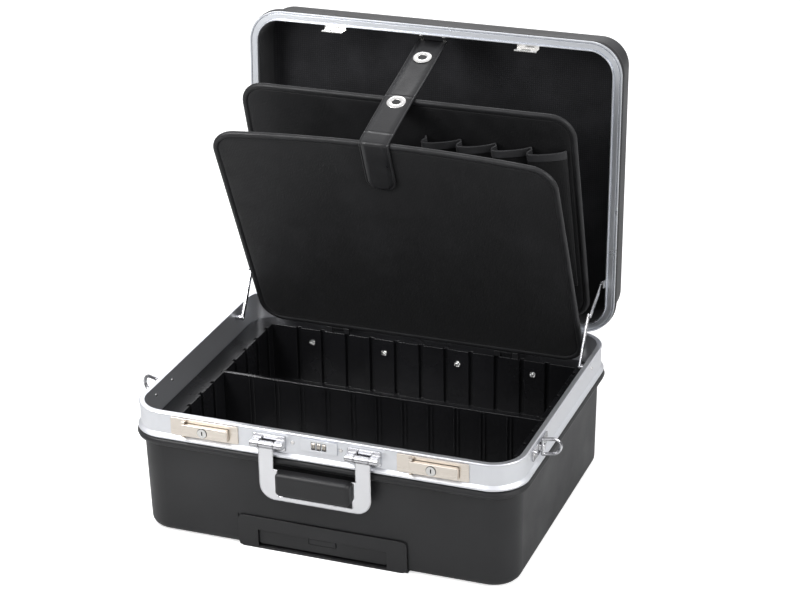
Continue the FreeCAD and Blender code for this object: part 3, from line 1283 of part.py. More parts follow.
def build():
    """Every sub-part, in the order base, boards, lid."""
    parts = [make_base_frame(), make_base_shell(), make_liner(), make_liner_rivets(), make_divider()]
    parts += make_combination()
    parts.append(make_frame_rivets())
    sides = []
    for side, word in (("-", "left"), ("", "right")):
        sides += make_lock(side, word)
        sides.append(make_bracket(side, word))
        sides += make_ring(side, word)
        sides += make_wheel(side, word)
        sides += make_stay(side, word)
        sides.append(make_catch(side, word))
        sides += [make_leaf(side, word, False), make_leaf(side, word, True)]
    parts += paired(sides)
    parts += make_handle()
    parts.append(make_handle_pins())
    parts.append(make_hinge_pins())
    parts += make_trolley()
    parts += [make_lid_frame(), make_lid_shell(), make_lining(), make_base_ears(), make_lid_ears()]
    parts += make_board("front_board", size("board_half"), size("board_high"), size("board_bow"),
                        size("board_pivot_y"), size("board_pivot_z"), size("board_lean"))
    parts += make_board("rear_board", size("rear_half"), size("rear_high"), 0, size("rear_pivot_y"),
                        size("rear_pivot_z"), size("rear_lean"))
    parts.append(make_pockets())
    parts += make_strap()
    return parts


parts = build()
doc.recompute()
for item in doc.Objects:
    if "Invalid" in item.State or "Error" in item.State:
        raise ValueError(item.Name + " failed")
for part in parts:
    if part.Shape.isNull() or not part.Shape.isValid():
        raise ValueError(part.Label + " has no valid shape")
for part in parts:
    part.Shape.exportStep(os.path.join("parts", part.Label + ".step"))
print(len(parts), "sub-parts written")
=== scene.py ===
import math
import random

import bpy
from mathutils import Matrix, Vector


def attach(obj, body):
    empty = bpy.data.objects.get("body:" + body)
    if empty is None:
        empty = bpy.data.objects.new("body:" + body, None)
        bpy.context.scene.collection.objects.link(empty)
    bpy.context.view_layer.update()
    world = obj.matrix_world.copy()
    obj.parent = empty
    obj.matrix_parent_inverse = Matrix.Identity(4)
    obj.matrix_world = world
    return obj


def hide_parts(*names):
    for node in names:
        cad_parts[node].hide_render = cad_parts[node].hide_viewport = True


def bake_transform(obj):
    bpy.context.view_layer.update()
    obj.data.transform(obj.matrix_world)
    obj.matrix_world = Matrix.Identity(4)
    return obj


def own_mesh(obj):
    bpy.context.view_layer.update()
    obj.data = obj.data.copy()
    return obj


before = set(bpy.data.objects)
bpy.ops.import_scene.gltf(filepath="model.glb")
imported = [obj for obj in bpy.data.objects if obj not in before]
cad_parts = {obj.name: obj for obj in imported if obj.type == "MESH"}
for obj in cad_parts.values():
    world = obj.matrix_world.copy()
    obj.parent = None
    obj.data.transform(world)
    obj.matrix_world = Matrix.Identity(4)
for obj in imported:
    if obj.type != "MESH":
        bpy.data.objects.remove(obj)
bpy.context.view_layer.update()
MM = 0.001

# Where the photograph was taken from, fitted to the case's straight edges; metres and degrees
CAMERA_PLACE, CAMERA_TURN, CAMERA_LENS = (1.005016, -2.491713, 1.479370), (65.733, 1.073, 20.769), 105.643

# Soft boxes: place in metres, side in metres, power in watts
LAMPS = {
    "key_light": ((-1.3, -2.2, 2.4), 1.4, 17),
    "side_light": ((2.4, -0.6, 1.6), 1.6, 38),
    "back_light": ((-0.6, 2.2, 2.2), 1.6, 18),
    "board_light": ((-0.44, -0.4, 0.69), 0.25, 3),
}

# Sizes repeated from the part's source, in millimetres
LID_HALF_X, LID_HALF_Y, LID_RADIUS, LID_LOW = 255.5, 196.5, 43, 171.8
HINGE_Y, HINGE_Z, OPEN_ANGLE = 197, 167.2, 93
LINING_INSET, LINING_LOW, LINING_TOP, LINING_THICK, LINING_BEND = 9.7, 175.1, 230.8, 2, 9
BOARD_START, BOARD_THICK, BINDING, BINDING_EXTRA, BOARD_RADIUS = 3, 5, 8, 2, 33
FRONT = {"half": 229.6, "high": 352, "bow": 13, "pivot": (168.7, 138.5), "lean": 23.94}
REAR = {"half": 226, "high": 325, "bow": 0, "pivot": (203.3, 184), "lean": 15.4}
LUG_PLACE, LUG_WIDE, LUG_RADIUS = 120, 16, 2.5
POCKETS, POCKET_LEFT, POCKET_PITCH, POCKET_LOW, POCKET_TOP = 4, 26, 46.6, 60, 275
HEM_HIGH, SEAM_OUT, CLOTH_OUT, POCKET_DEEP = 11, 0.2, 0.9, 14.6
STRAP_HALF, STRAP_THICK, STRAP_SHIFT, STRAP_TAIL = 20, 2.4, -8, 74
STRAP_ROOT_UP, STRAP_ROOT_IN, STRAP_REST, STRAP_SEAT, STRAP_END = 371, 5, 0.8, 0.3, 15
STRAP_FOLD, STRAP_NECK, STRAP_SAG = 5, 10, 1.5
LOCK_PLACE, LEVER_Z, LEVER_FRONT, KEY_RADIUS, KEY_RISE = 149, 155, -201.85, 6, 1
DIAL_RADIUS, DIAL_PITCH, DIAL_MIDDLE, DIAL_Y, DIAL_Z = 5.8, 7, 3, -191.15, 159
EYELET_LONG, EYELET_WIDE, EYELET_FIRST, EYELET_SECOND = 25, 23, 35, 11.8
STAY_RIVET, RING_RIVET_X, RING_RIVET_INNER_X, RING_RIVET_Z = (252.5, 115, 160), 254.3, 246.5, 158
RING_RIVET_PLACES, CLIP_PLACES = (-129, -83), (-14, 17)

# How finely the meshes are cut: across, along and round a corner of a rounded sheet
BOARD_CELLS, LINING_CELLS = (40, 30, 10), (40, 32, 10)


# Camera and stage

def add_camera():
    """The camera that took the photograph."""
    data = bpy.data.cameras.new("photo_camera")
    data.lens = CAMERA_LENS
    data.sensor_width = 36
    data.clip_end = 50
    camera = bpy.data.objects.new("photo_camera", data)
    camera.location = CAMERA_PLACE
    camera.rotation_euler = [math.radians(angle) for angle in CAMERA_TURN]
    bpy.context.scene.collection.objects.link(camera)
    bpy.context.scene.camera = camera


def seen_directly(nodes, links):
    """1 for camera and transmission rays, 0 for the rest."""
    path = nodes.new("ShaderNodeLightPath")
    larger = nodes.new("ShaderNodeMath")
    larger.operation = "MAXIMUM"
    links.new(path.outputs["Is Camera Ray"], larger.inputs[0])
    links.new(path.outputs["Is Transmission Ray"], larger.inputs[1])
    return larger.outputs[0]


def studio_bands(nodes, links):
    """What shiny pieces mirror: a bright ceiling, grey walls with a dark band, and a pale floor."""
    place = nodes.new("ShaderNodeTexCoord")
    apart = nodes.new("ShaderNodeSeparateXYZ")
    links.new(place.outputs["Generated"], apart.inputs[0])
    ramp = nodes.new("ShaderNodeValToRGB")
    stops = [(0.0, 0.55), (0.42, 0.5), (0.49, 0.16), (0.53, 0.3), (0.58, 0.72), (0.72, 0.86), (0.85, 1.0)]
    while len(ramp.color_ramp.elements) < len(stops):
        ramp.color_ramp.elements.new(0.5)
    for element, (place_on, grey) in zip(ramp.color_ramp.elements, stops):
        element.position = place_on
        element.color = (grey, grey, grey * 1.03, 1)
    half = nodes.new("ShaderNodeMapRange")
    half.inputs["From Min"].default_value = -1
    links.new(apart.outputs[2], half.inputs["Value"])
    links.new(half.outputs[0], ramp.inputs[0])
    return ramp.outputs[0]


def add_world():
    """White where it is seen, studio walls where it is mirrored, and a plain soft light otherwise."""
    world = bpy.data.worlds.new("studio")
    bpy.context.scene.world = world
    world.use_nodes = True
    nodes, links = world.node_tree.nodes, world.node_tree.links
    nodes.clear()
    soft = nodes.new("ShaderNodeBackground")
    soft.inputs["Color"].default_value = (0.97, 0.985, 1, 1)
    soft.inputs["Strength"].default_value = 0.5
    mirrored = nodes.new("ShaderNodeBackground")
    links.new(studio_bands(nodes, links), mirrored.inputs["Color"])
    white = nodes.new("ShaderNodeBackground")
    white.inputs["Color"].default_value = (1, 1, 1, 1)
    path = nodes.new("ShaderNodeLightPath")
    first, second = nodes.new("ShaderNodeMixShader"), nodes.new("ShaderNodeMixShader")
    out = nodes.new("ShaderNodeOutputWorld")
    links.new(path.outputs["Is Glossy Ray"], first.inputs[0])
    links.new(soft.outputs[0], first.inputs[1])
    links.new(mirrored.outputs[0], first.inputs[2])
    links.new(seen_directly(nodes, links), second.inputs[0])
    links.new(first.outputs[0], second.inputs[1])
    links.new(white.outputs[0], second.inputs[2])
    links.new(second.outputs[0], out.inputs["Surface"])


def add_floor():
    """A pale floor that is white where nothing shades it, and keeps a soft shadow."""
    bpy.ops.mesh.primitive_plane_add(size=16, location=(0, 0, 0))
    floor = bpy.context.object
    floor.name = "floor"
    material = bpy.data.materials.new("floor_white")
    material.use_nodes = True
    nodes, links = material.node_tree.nodes, material.node_tree.links
    nodes.clear()
    matte = nodes.new("ShaderNodeBsdfDiffuse")
    grey = nodes.new("ShaderNodeMapRange")
    grey.inputs["To Min"].default_value = 0.86
    grey.inputs["To Max"].default_value = 0.8
    path = nodes.new("ShaderNodeLightPath")
    links.new(path.outputs["Is Glossy Ray"], grey.inputs["Value"])
    links.new(grey.outputs[0], matte.inputs["Color"])
    glow = nodes.new("ShaderNodeEmission")
    glow.inputs["Color"].default_value = (1, 1, 1, 1)
    both = nodes.new("ShaderNodeAddShader")
    share = nodes.new("ShaderNodeMath")
    share.operation = "MULTIPLY"
    share.inputs[1].default_value = 0.62
    out = nodes.new("ShaderNodeOutputMaterial")
    links.new(seen_directly(nodes, links), share.inputs[0])
    links.new(share.outputs[0], glow.inputs["Strength"])
    links.new(matte.outputs[0], both.inputs[0])
    links.new(glow.outputs[0], both.inputs[1])
    links.new(both.outputs[0], out.inputs["Surface"])
    floor.data.materials.append(material)


def add_lamp(name, place, size, power):
    """A square soft box that faces the middle of the case."""
    data = bpy.data.lights.new(name, "AREA")
    data.size = size
    data.energy = power
    lamp = bpy.data.objects.new(name, data)
    lamp.location = place
    way = Vector((0, 0, 0.2)) - Vector(place)
    lamp.rotation_euler = way.to_track_quat("-Z", "Y").to_euler()
    bpy.context.scene.collection.objects.link(lamp)


# Materials

class Nodes:
    """A Principled material under construction, with object coordinates in metres."""

    def __init__(self, name, colour, rough, metal=0.0, specular=0.5, edge=0.0):
        self.material = bpy.data.materials.new(name)
        self.material.use_nodes = True
        self.tree = self.material.node_tree
        self.shader = self.tree.nodes["Principled BSDF"]
        self.set("Base Color", (*colour, 1))
        self.set("Roughness", rough)
        self.set("Metallic", metal)
        self.set("Specular IOR Level", specular)
        self.place = self.tree.nodes.new("ShaderNodeTexCoord").outputs["Object"]
        self.height = None
        if edge:
            rounded = self.tree.nodes.new("ShaderNodeBevel")
            rounded.samples = 4
            rounded.inputs["Radius"].default_value = edge
            self.height = rounded.outputs[0]
            self.link(self.height, self.shader.inputs["Normal"])

    def set(self, socket, value):
        self.shader.inputs[socket].default_value = value

    def link(self, out, into):
        self.tree.links.new(out, into)

    def stretched(self, scale):
        mapping = self.tree.nodes.new("ShaderNodeMapping")
        mapping.inputs["Scale"].default_value = scale
        self.link(self.place, mapping.inputs["Vector"])
        return mapping.outputs[0]

    def noise(self, scale, detail=2, stretch=None):
        node = self.tree.nodes.new("ShaderNodeTexNoise")
        node.inputs["Scale"].default_value = scale
        node.inputs["Detail"].default_value = detail
        self.link(self.stretched(stretch) if stretch else self.place, node.inputs["Vector"])
        return node.outputs["Fac"]

    def cells(self, scale):
        node = self.tree.nodes.new("ShaderNodeTexVoronoi")
        node.inputs["Scale"].default_value = scale
        self.link(self.place, node.inputs["Vector"])
        return node.outputs["Distance"]

    def bands(self, direction, scale, distortion=0.3):
        node = self.tree.nodes.new("ShaderNodeTexWave")
        node.bands_direction = direction
        node.inputs["Scale"].default_value = scale
        node.inputs["Distortion"].default_value = distortion
        self.link(self.place, node.inputs["Vector"])
        return node.outputs["Fac"]

    def blend_of(self, kind, a, b):
        node = self.tree.nodes.new("ShaderNodeMath")
        node.operation = kind
        for socket, value in zip(node.inputs, (a, b)):
            if isinstance(value, (int, float)):
                socket.default_value = value
            else:
                self.link(value, socket)
        return node.outputs[0]

    def ranged(self, fac, low, high, start=0.3, end=0.7):
        node = self.tree.nodes.new("ShaderNodeMapRange")
        for socket, value in (("From Min", start), ("From Max", end), ("To Min", low), ("To Max", high)):
            node.inputs[socket].default_value = value
        self.link(fac, node.inputs["Value"])
        return node.outputs[0]

    def ramp(self, fac, stops):
        """Grey levels along fac; each stop is (place, level)."""
        node = self.tree.nodes.new("ShaderNodeValToRGB")
        elements = node.color_ramp.elements
        while len(elements) < len(stops):
            elements.new(0.5)
        for element, (place, level) in zip(elements, stops):
            element.position = place
            element.color = (level, level, level, 1)
        self.link(fac, node.inputs[0])
        return node.outputs[0]

    def hollows(self, reach):
        """0 in the open, towards 1 deep in a groove or corner, where shade is painted; reach in metres."""
        node = self.tree.nodes.new("ShaderNodeAmbientOcclusion")
        node.samples = 4
        node.inputs["Distance"].default_value = reach
        return self.blend_of("SUBTRACT", 1, node.outputs["AO"])

    def mirrored_way(self):
        """Which way the surface with its rounded edges sends the view."""
        seen = self.tree.nodes.new("ShaderNodeNewGeometry").outputs["Incoming"]
        flipped, turned_back = (self.tree.nodes.new("ShaderNodeVectorMath") for _ in range(2))
        flipped.operation, turned_back.operation = "SCALE", "REFLECT"
        flipped.inputs["Scale"].default_value = -1
        self.link(seen, flipped.inputs[0])
        self.link(flipped.outputs[0], turned_back.inputs[0])
        self.link(self.height, turned_back.inputs[1])
        return turned_back.outputs[0]

    def vary_rough(self, fac, low, high):
        self.link(self.ranged(fac, low, high), self.shader.inputs["Roughness"])

    def vary_colour(self, fac, other, start=0.3, end=0.7):
        """The colour goes over to the other one as fac goes from start to end."""
        node = self.tree.nodes.new("ShaderNodeMix")
        node.data_type = "RGBA"
        before = self.shader.inputs["Base Color"]
        if before.links:
            self.link(before.links[0].from_socket, node.inputs[6])
        else:
            node.inputs[6].default_value = before.default_value
        node.inputs[7].default_value = (*other, 1)
        self.link(self.ranged(fac, 0, 1, start, end), node.inputs[0])
        self.link(node.outputs[2], before)

    def bump(self, height, strength, depth):
        """A height pattern, on top of the ones before; depth in metres."""
        node = self.tree.nodes.new("ShaderNodeBump")
        node.inputs["Strength"].default_value = strength
        node.inputs["Distance"].default_value = depth
        self.link(height, node.inputs["Height"])
        if self.height is not None:
            self.link(self.height, node.inputs["Normal"])
        self.height = node.outputs[0]
        self.link(self.height, self.shader.inputs["Normal"])


def moulded(name, colour, rough, specular, grain=1500, depth=0.00012, lighter=1.6, edge=0.0012):
    """Grained moulded plastic, a little uneven in gloss and with faint rub marks."""
    n = Nodes(name, colour, rough, specular=specular, edge=edge)
    n.bump(n.cells(grain), 0.35, depth)
    n.bump(n.noise(grain / 3, 3), 0.2, depth)
    n.vary_rough(n.noise(14, 4), rough - 0.05, rough + 0.07)
    rubbed = tuple(channel * lighter for channel in colour)
    n.vary_colour(n.noise(9, 5), rubbed, 0.45, 0.8)
    return n.material


def brushed(name, colour, rough, way, darker=0.9, depth=0.00003, groove_shade=None):
    """Metal with fine lines along one axis: 0 for X, 1 for Y, 2 for Z. A darker colour can be given as
    painted shade in its grooves and corners.
    """
    n = Nodes(name, colour, rough, metal=1, edge=0.0004)
    stretch = tuple(12 if axis == way else 1400 for axis in range(3))
    lines = n.noise(1, 3, stretch)
    n.bump(lines, 0.2, depth)
    n.vary_rough(lines, rough - 0.04, rough + 0.06)
    n.vary_colour(n.noise(7, 3), tuple(channel * darker for channel in colour), 0.4, 0.75)
    # Painted shade: deep in grooves and corners the colour goes over to the darker one
    if groove_shade:
        n.vary_colour(n.hollows(0.002), groove_shade, 0.35, 0.75)
    return n.material


def satin(name, colour, rough, darker=0.96, edge=0.0008, metal=1.0, groove_shade=None):
    """Anodised or rolled metal with no brushing: fine grit and slightly clouded gloss. A darker colour can be
    given as painted shade in its grooves and corners.
    """
    n = Nodes(name, colour, rough, metal=metal, edge=edge)
    n.bump(n.noise(2600, 2), 0.04, 0.00002)
    n.vary_rough(n.noise(9, 3), rough - 0.02, rough + 0.03)
    n.vary_colour(n.noise(3, 3), tuple(channel * darker for channel in colour), 0.4, 0.75)
    # Painted shade: deep in grooves and corners the colour goes over to the darker one
    if groove_shade:
        n.vary_colour(n.hollows(0.006), groove_shade, 0.25, 0.6)
    return n.material


def faceted(name, colour, rough):
    """A pressed metal head with small uneven faces, so that it glints in places."""
    n = Nodes(name, colour, rough, metal=1)
    n.bump(n.cells(620), 1.0, 0.0012)
    return n.material


def plated(name, colour, rough=0.05):
    """Bright plating over a cast or pressed base, with a faint ripple and fine dust. Dark bands of painted
    reflection, set by the way it mirrors the view, darken its colour.
    """
    n = Nodes(name, colour, rough, metal=1, edge=0.0024)
    mirrored = n.mirrored_way()
    n.bump(n.noise(90, 2), 0.05, 0.0002)
    n.vary_rough(n.noise(60, 5), rough, rough + 0.08)
    apart = n.tree.nodes.new("ShaderNodeSeparateXYZ")
    n.link(mirrored, apart.inputs[0])
    uneven = n.ranged(n.noise(70, 2), -0.05, 0.05)
    across = n.blend_of("ADD", n.ranged(apart.outputs[0], 0, 1, -1, 1), uneven)
    upward = n.blend_of("ADD", n.ranged(apart.outputs[2], 0, 1, -1, 1), uneven)
    # Painted reflection: the colour goes near black where the mirrored way falls in dark bands across the
    # walls and along the horizon
    painted_wall_reflection = n.ramp(across, [(0, 0.2), (0.06, 0.95), (0.2, 0.9), (0.26, 0.05), (0.41, 0), (0.46, 0.85),
                            (0.6, 0.9), (0.68, 0.05), (1, 0)])
    painted_horizon_reflection = n.ramp(upward, [(0, 0.6), (0.12, 0.4), (0.2, 0), (0.32, 0), (0.38, 0.9), (0.54, 0.85),
                              (0.62, 0.05), (1, 0)])
    n.vary_colour(n.blend_of("MAXIMUM", painted_wall_reflection, painted_horizon_reflection), (0.07, 0.07, 0.08), 0, 1)
    return n.material


def woven(name, colour, thread=0.0011, rough=0.85, sheen=0.35):
    """Plain-weave cloth: two crossed sets of threads, with slubs and a soft sheen."""
    n = Nodes(name, colour, rough, specular=0.25)
    n.set("Sheen Weight", sheen)
    n.set("Sheen Roughness", 0.45)
    turns = 1 / (thread * 2 * math.pi)
    across = n.bands("X", turns, 0.6)
    along = n.bands("Z", turns, 0.6)
    weave = n.blend_of("MULTIPLY", across, along)
    n.bump(weave, 0.5, 0.00025)
    n.bump(n.noise(500, 4), 0.35, 0.0003)
    n.vary_colour(weave, tuple(channel * 0.55 for channel in colour), 0.7, 0.1)
    n.vary_colour(n.noise(11, 6), tuple(channel * 1.5 for channel in colour), 0.5, 0.85)
    n.vary_rough(n.noise(40, 4), rough - 0.08, min(rough + 0.08, 1))
    return n.material


def leather(name, colour, rough=0.34, specular=0.5, grain=900):
    """Coated leather: pebbled grain, finer creases, and gloss that wears off in places."""
    n = Nodes(name, colour, rough, specular=specular)
    n.bump(n.cells(grain), 0.45, 0.00018)
    n.bump(n.noise(260, 5), 0.3, 0.0003)
    n.vary_rough(n.noise(45, 4), rough - 0.06, rough + 0.12)
    n.vary_colour(n.noise(30, 5), tuple(channel * 1.9 for channel in colour), 0.5, 0.85)
    return n.material


def make_materials():
    """Every material of the case, by name."""
    return {
        "shell_plastic": moulded("shell_plastic", (0.014, 0.014, 0.015), 0.42, 0.4),
        # The darker colours given for the frames' hollows are painted shade
        "frame_aluminium": satin("frame_aluminium", (0.80, 0.81, 0.84), 0.36, metal=0.86,
                                 groove_shade=(0.5, 0.52, 0.57)),
        "lid_aluminium": satin("lid_aluminium", (0.80, 0.82, 0.86), 0.28, metal=0.9,
                               groove_shade=(0.3, 0.33, 0.39)),
        "liner_plastic": moulded("liner_plastic", (0.008, 0.008, 0.009), 0.24, 0.55, 1100, 0.0001, 2.0),
        "divider_plastic": moulded("divider_plastic", (0.010, 0.010, 0.011), 0.16, 0.8, 1100, 0.0001),
        "rivet_metal": satin("rivet_metal", (0.76, 0.75, 0.73), 0.24, 0.9, 0.0004),
        "bright_rivet": faceted("bright_rivet", (0.75, 0.75, 0.74), 0.16),
        # The darker colour given for the lock plates' hollows is painted shade
        "champagne_metal": brushed("champagne_metal", (0.84, 0.77, 0.69), 0.3, 0, groove_shade=(0.2, 0.16, 0.13)),
        # The chrome's dark bands are painted reflection
        "chrome": plated("chrome", (0.80, 0.80, 0.82)),
        "black_plastic": moulded("black_plastic", (0.012, 0.012, 0.013), 0.4, 0.45, 1800, 0.0001),
        "dial_brass": brushed("dial_brass", (0.60, 0.56, 0.50), 0.28, 0),
        "tube_aluminium": brushed("tube_aluminium", (0.74, 0.75, 0.77), 0.3, 1),
        "wheel_rubber": moulded("wheel_rubber", (0.02, 0.02, 0.02), 0.75, 0.3, 700, 0.0002),
        "board_cover": woven("board_cover", (0.009, 0.009, 0.010), 0.0011, 0.52, 0.1),
        "hem_tape": leather("hem_tape", (0.030, 0.030, 0.032), 0.5, 0.45),
        "lining_cloth": woven("lining_cloth", (0.024, 0.024, 0.027), 0.0014, 0.9, 0.25),
        "binding_leather": leather("binding_leather", (0.012, 0.012, 0.013), 0.45, 0.4),
        "strap_leather": leather("strap_leather", (0.010, 0.010, 0.011), 0.33, 0.45, 700),
        # A near-black used as painted shade in gaps, key slots and eyelet holes, and as the print of the dial
        # digits
        "shade_and_print_black": moulded("shade_and_print_black", (0.006, 0.006, 0.006), 0.7, 0.2),
    }


CAD_FINISH = {
    "shell_plastic": ["base_shell", "lid_shell"],
    "frame_aluminium": ["base_frame", "combination_plate"],
    "lid_aluminium": ["lid_frame"],
    "liner_plastic": ["base_liner"],
    "divider_plastic": ["long_divider"],
    "bright_rivet": ["liner_rivets"],
    "rivet_metal": ["frame_rivets", "hinge_pins", "handle_pins", "dial_shaft", "wheel_axles",
                    "key_cylinder_left", "key_cylinder_right", "hinge_base_leaves", "hinge_lid_leaves",
                    "lid_catches"],
    "champagne_metal": ["lock_plates", "lock_lever_left", "lock_lever_right"],
    "chrome": ["handle_bow", "handle_brackets", "ring_plates", "carry_ring_left", "carry_ring_right",
               "stay_lower_link_left", "stay_lower_link_right", "stay_upper_link_left",
               "stay_upper_link_right", "stay_base_pivots", "stay_lid_pivots",
               "lock_bolt_left", "lock_bolt_right"],
    "black_plastic": ["handle_grip", "trolley_tray", "trolley_grip", "trolley_button", "wheel_housings",
                      "lock_cases", "combination_case", "board_hinge", "lid_board_hinge"],
    "dial_brass": ["number_dial_1", "number_dial_2", "number_dial_3"],
    "tube_aluminium": ["trolley_outer_tubes", "trolley_middle_tubes"],
    "wheel_rubber": ["trolley_wheel_left", "trolley_wheel_right"],
}


def dress_cad(materials):
    """Every CAD node gets its procedural material."""
    finish = {node: name for name, nodes in CAD_FINISH.items() for node in nodes}
    for name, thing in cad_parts.items():
        material = materials[finish.get(name, "board_cover")]
        if not thing.material_slots:
            thing.data.materials.append(material)
        for slot in thing.material_slots:
            slot.material = material


# Building blocks

def shown(name, data, material, body=None):
    """A new object in the scene with its material, riding on a body if one is named."""
    thing = bpy.data.objects.new(name, data)
    bpy.context.scene.collection.objects.link(thing)
    if material is not None and not data.materials:
        data.materials.append(material)
    if body:
        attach(thing, body)
    return thing


def mesh_of(name, points, faces, smooth=True):
    """A mesh from points in millimetres."""
    mesh = bpy.data.meshes.new(name)
    mesh.from_pydata([(x * MM, y * MM, z * MM) for x, y, z in points], [], faces)
    mesh.validate()
    if smooth:
        mesh.polygons.foreach_set("use_smooth", [True] * len(mesh.polygons))
    mesh.update()
    return mesh


def turned(y, z, about_y, about_z, degrees):
    """A point turned about an axis along X."""
    turn = math.radians(degrees)
    dy, dz = y - about_y, z - about_z
    return (about_y + dy * math.cos(turn) - dz * math.sin(turn),
            about_z + dy * math.sin(turn) + dz * math.cos(turn))


def lid_open(x, y, z):
    """Where a point of the closed lid lies with the lid open."""
    y, z = turned(y, z, HINGE_Y, HINGE_Z, -OPEN_ANGLE)
    return x, y, z


def on_board(board, x, out, up):
    """A point of a board: across, out to its back, and up along it."""
    pivot_y, pivot_z = board["pivot"]
    y, z = turned(pivot_y + out, pivot_z + up, pivot_y, pivot_z, board["lean"])
    return x, y, z


def bow_of(board, x, up):
    """How far the board stands back at a place. Only its top edge is bowed, and most in the middle."""
    share = (up - BOARD_START) / (board["high"] - BOARD_START)
    return board["bow"] * max(share, 0) * (1 - (x / board["half"]) ** 2)


def outline_points(half_x, low, high, radius, inset, cells):
    """Points round a rectangle with round corners, moved in by inset, with the same count at any inset."""
    cells_x, cells_y, cells_arc = cells
    points = []
    inner_low, inner_high, inner_x = low + radius, high - radius, half_x - radius
    corners = [(inner_x, inner_low, -90), (inner_x, inner_high, 0), (-inner_x, inner_high, 90),
               (-inner_x, inner_low, 180)]
    runs = [((-inner_x, inner_low), (inner_x, inner_low), (0, -1), cells_x),
            ((inner_x, inner_low), (inner_x, inner_high), (1, 0), cells_y),
            ((inner_x, inner_high), (-inner_x, inner_high), (0, 1), cells_x),
            ((-inner_x, inner_high), (-inner_x, inner_low), (-1, 0), cells_y)]
    reach = radius - inset
    for (start, end, out, count), (centre_x, centre_y, first) in zip(runs, corners):
        for step in range(count):
            share = step / count
            x = start[0] + (end[0] - start[0]) * share + out[0] * reach
            y = start[1] + (end[1] - start[1]) * share + out[1] * reach
            points.append((x, y))
        for step in range(cells_arc):
            turn = math.radians(first + 90 * step / cells_arc)
            points.append((centre_x + reach * math.cos(turn), centre_y + reach * math.sin(turn)))
    return points


def rounded_sheet(half_x, low, high, radius, rings, core, cells):
    """Points and faces of a sheet over a rectangle with round corners.

    Each ring is (inset, height). Core gives the height of a point inside all rings."""
    cells_x, cells_y, cells_arc = cells
    points, faces = [], []
    loops = []
    for inset, height in rings:
        places = outline_points(half_x, low, high, radius, inset, cells)
        loops.append(range(len(points), len(points) + len(places)))
        points += [(x, y, height) for x, y in places]
    for outer, inner in zip(loops, loops[1:]):
        for step in range(len(outer)):
            after = (step + 1) % len(outer)
            faces.append((outer[step], outer[after], inner[after], inner[step]))
    inner_x, inner_low, inner_high = half_x - radius, low + radius, high - radius
    grid = {}
    for row in range(cells_y + 1):
        for column in range(cells_x + 1):
            x = -inner_x + 2 * inner_x * column / cells_x
            y = inner_low + (inner_high - inner_low) * row / cells_y
            grid[column, row] = len(points)
            points.append((x, y, core(x, y)))
    for row in range(cells_y):
        for column in range(cells_x):
            faces.append((grid[column, row], grid[column + 1, row], grid[column + 1, row + 1],
                          grid[column, row + 1]))
    edge = [grid[column, 0] for column in range(cells_x)] + [grid[cells_x, 0]] * cells_arc
    edge += [grid[cells_x, row] for row in range(cells_y)] + [grid[cells_x, cells_y]] * cells_arc
    edge += [grid[cells_x - column, cells_y] for column in range(cells_x)] + [grid[0, cells_y]] * cells_arc
    edge += [grid[0, cells_y - row] for row in range(cells_y)] + [grid[0, 0]] * cells_arc
    last = loops[-1]
    for step in range(len(last)):
        after = (step + 1) % len(last)
        face = [last[step], last[after], edge[after], edge[step]]
        if edge[after] == edge[step]:
            face.pop()
        faces.append(tuple(face))
    return points, faces


def swept_band(name, path, section, closed_path=False):
    """A mesh from a closed section carried along a path. Each path entry maps a section point to space."""
    points, faces = [], []
    count = len(section)
    for place in path:
        points += [place(*corner) for corner in section]
    steps = len(path) if closed_path else len(path) - 1
    for step in range(steps):
        here, there = step * count, ((step + 1) % len(path)) * count
        for corner in range(count):
            after = (corner + 1) % count
            faces.append((here + corner, here + after, there + after, there + corner))
    if not closed_path:
        faces.append(tuple(reversed(range(count))))
        faces.append(tuple(range((len(path) - 1) * count, len(path) * count)))
    return mesh_of(name, points, faces)


# Boards

def edge_profile(thick, bead):
    """Half thickness of a bound board at each inset: a rolled edge, its seam, and the crowned cover.

    Also returns how many of these rings the leather binding covers."""
    rolled = [(0, 0.0), (0.3, 0.36), (1.0, 0.68), (2.2, 0.92), (3.8, 1.0), (5.4, 0.96), (6.6, 0.84)]
    rings = [(inset, bead * share) for inset, share in rolled]
    rings += [(BINDING - 0.6, thick - 0.55), (BINDING, thick - 0.75), (BINDING + 0.8, thick - 0.35),
              (BINDING + 2.2, thick), (BINDING + 6, thick + 0.15), (BOARD_RADIUS - 5, thick + 0.25)]
    return rings, len(rolled) + 1


def ripples(count, slow, fast):
    """A shallow uneven surface: a mean of sine waves in random directions."""
    waves = [(random.uniform(slow, fast), random.uniform(slow, fast), random.uniform(0, 6))
             for _ in range(count)]
    return lambda x, y: sum(math.sin(a * x + b * y + c) for a, b, c in waves) / count


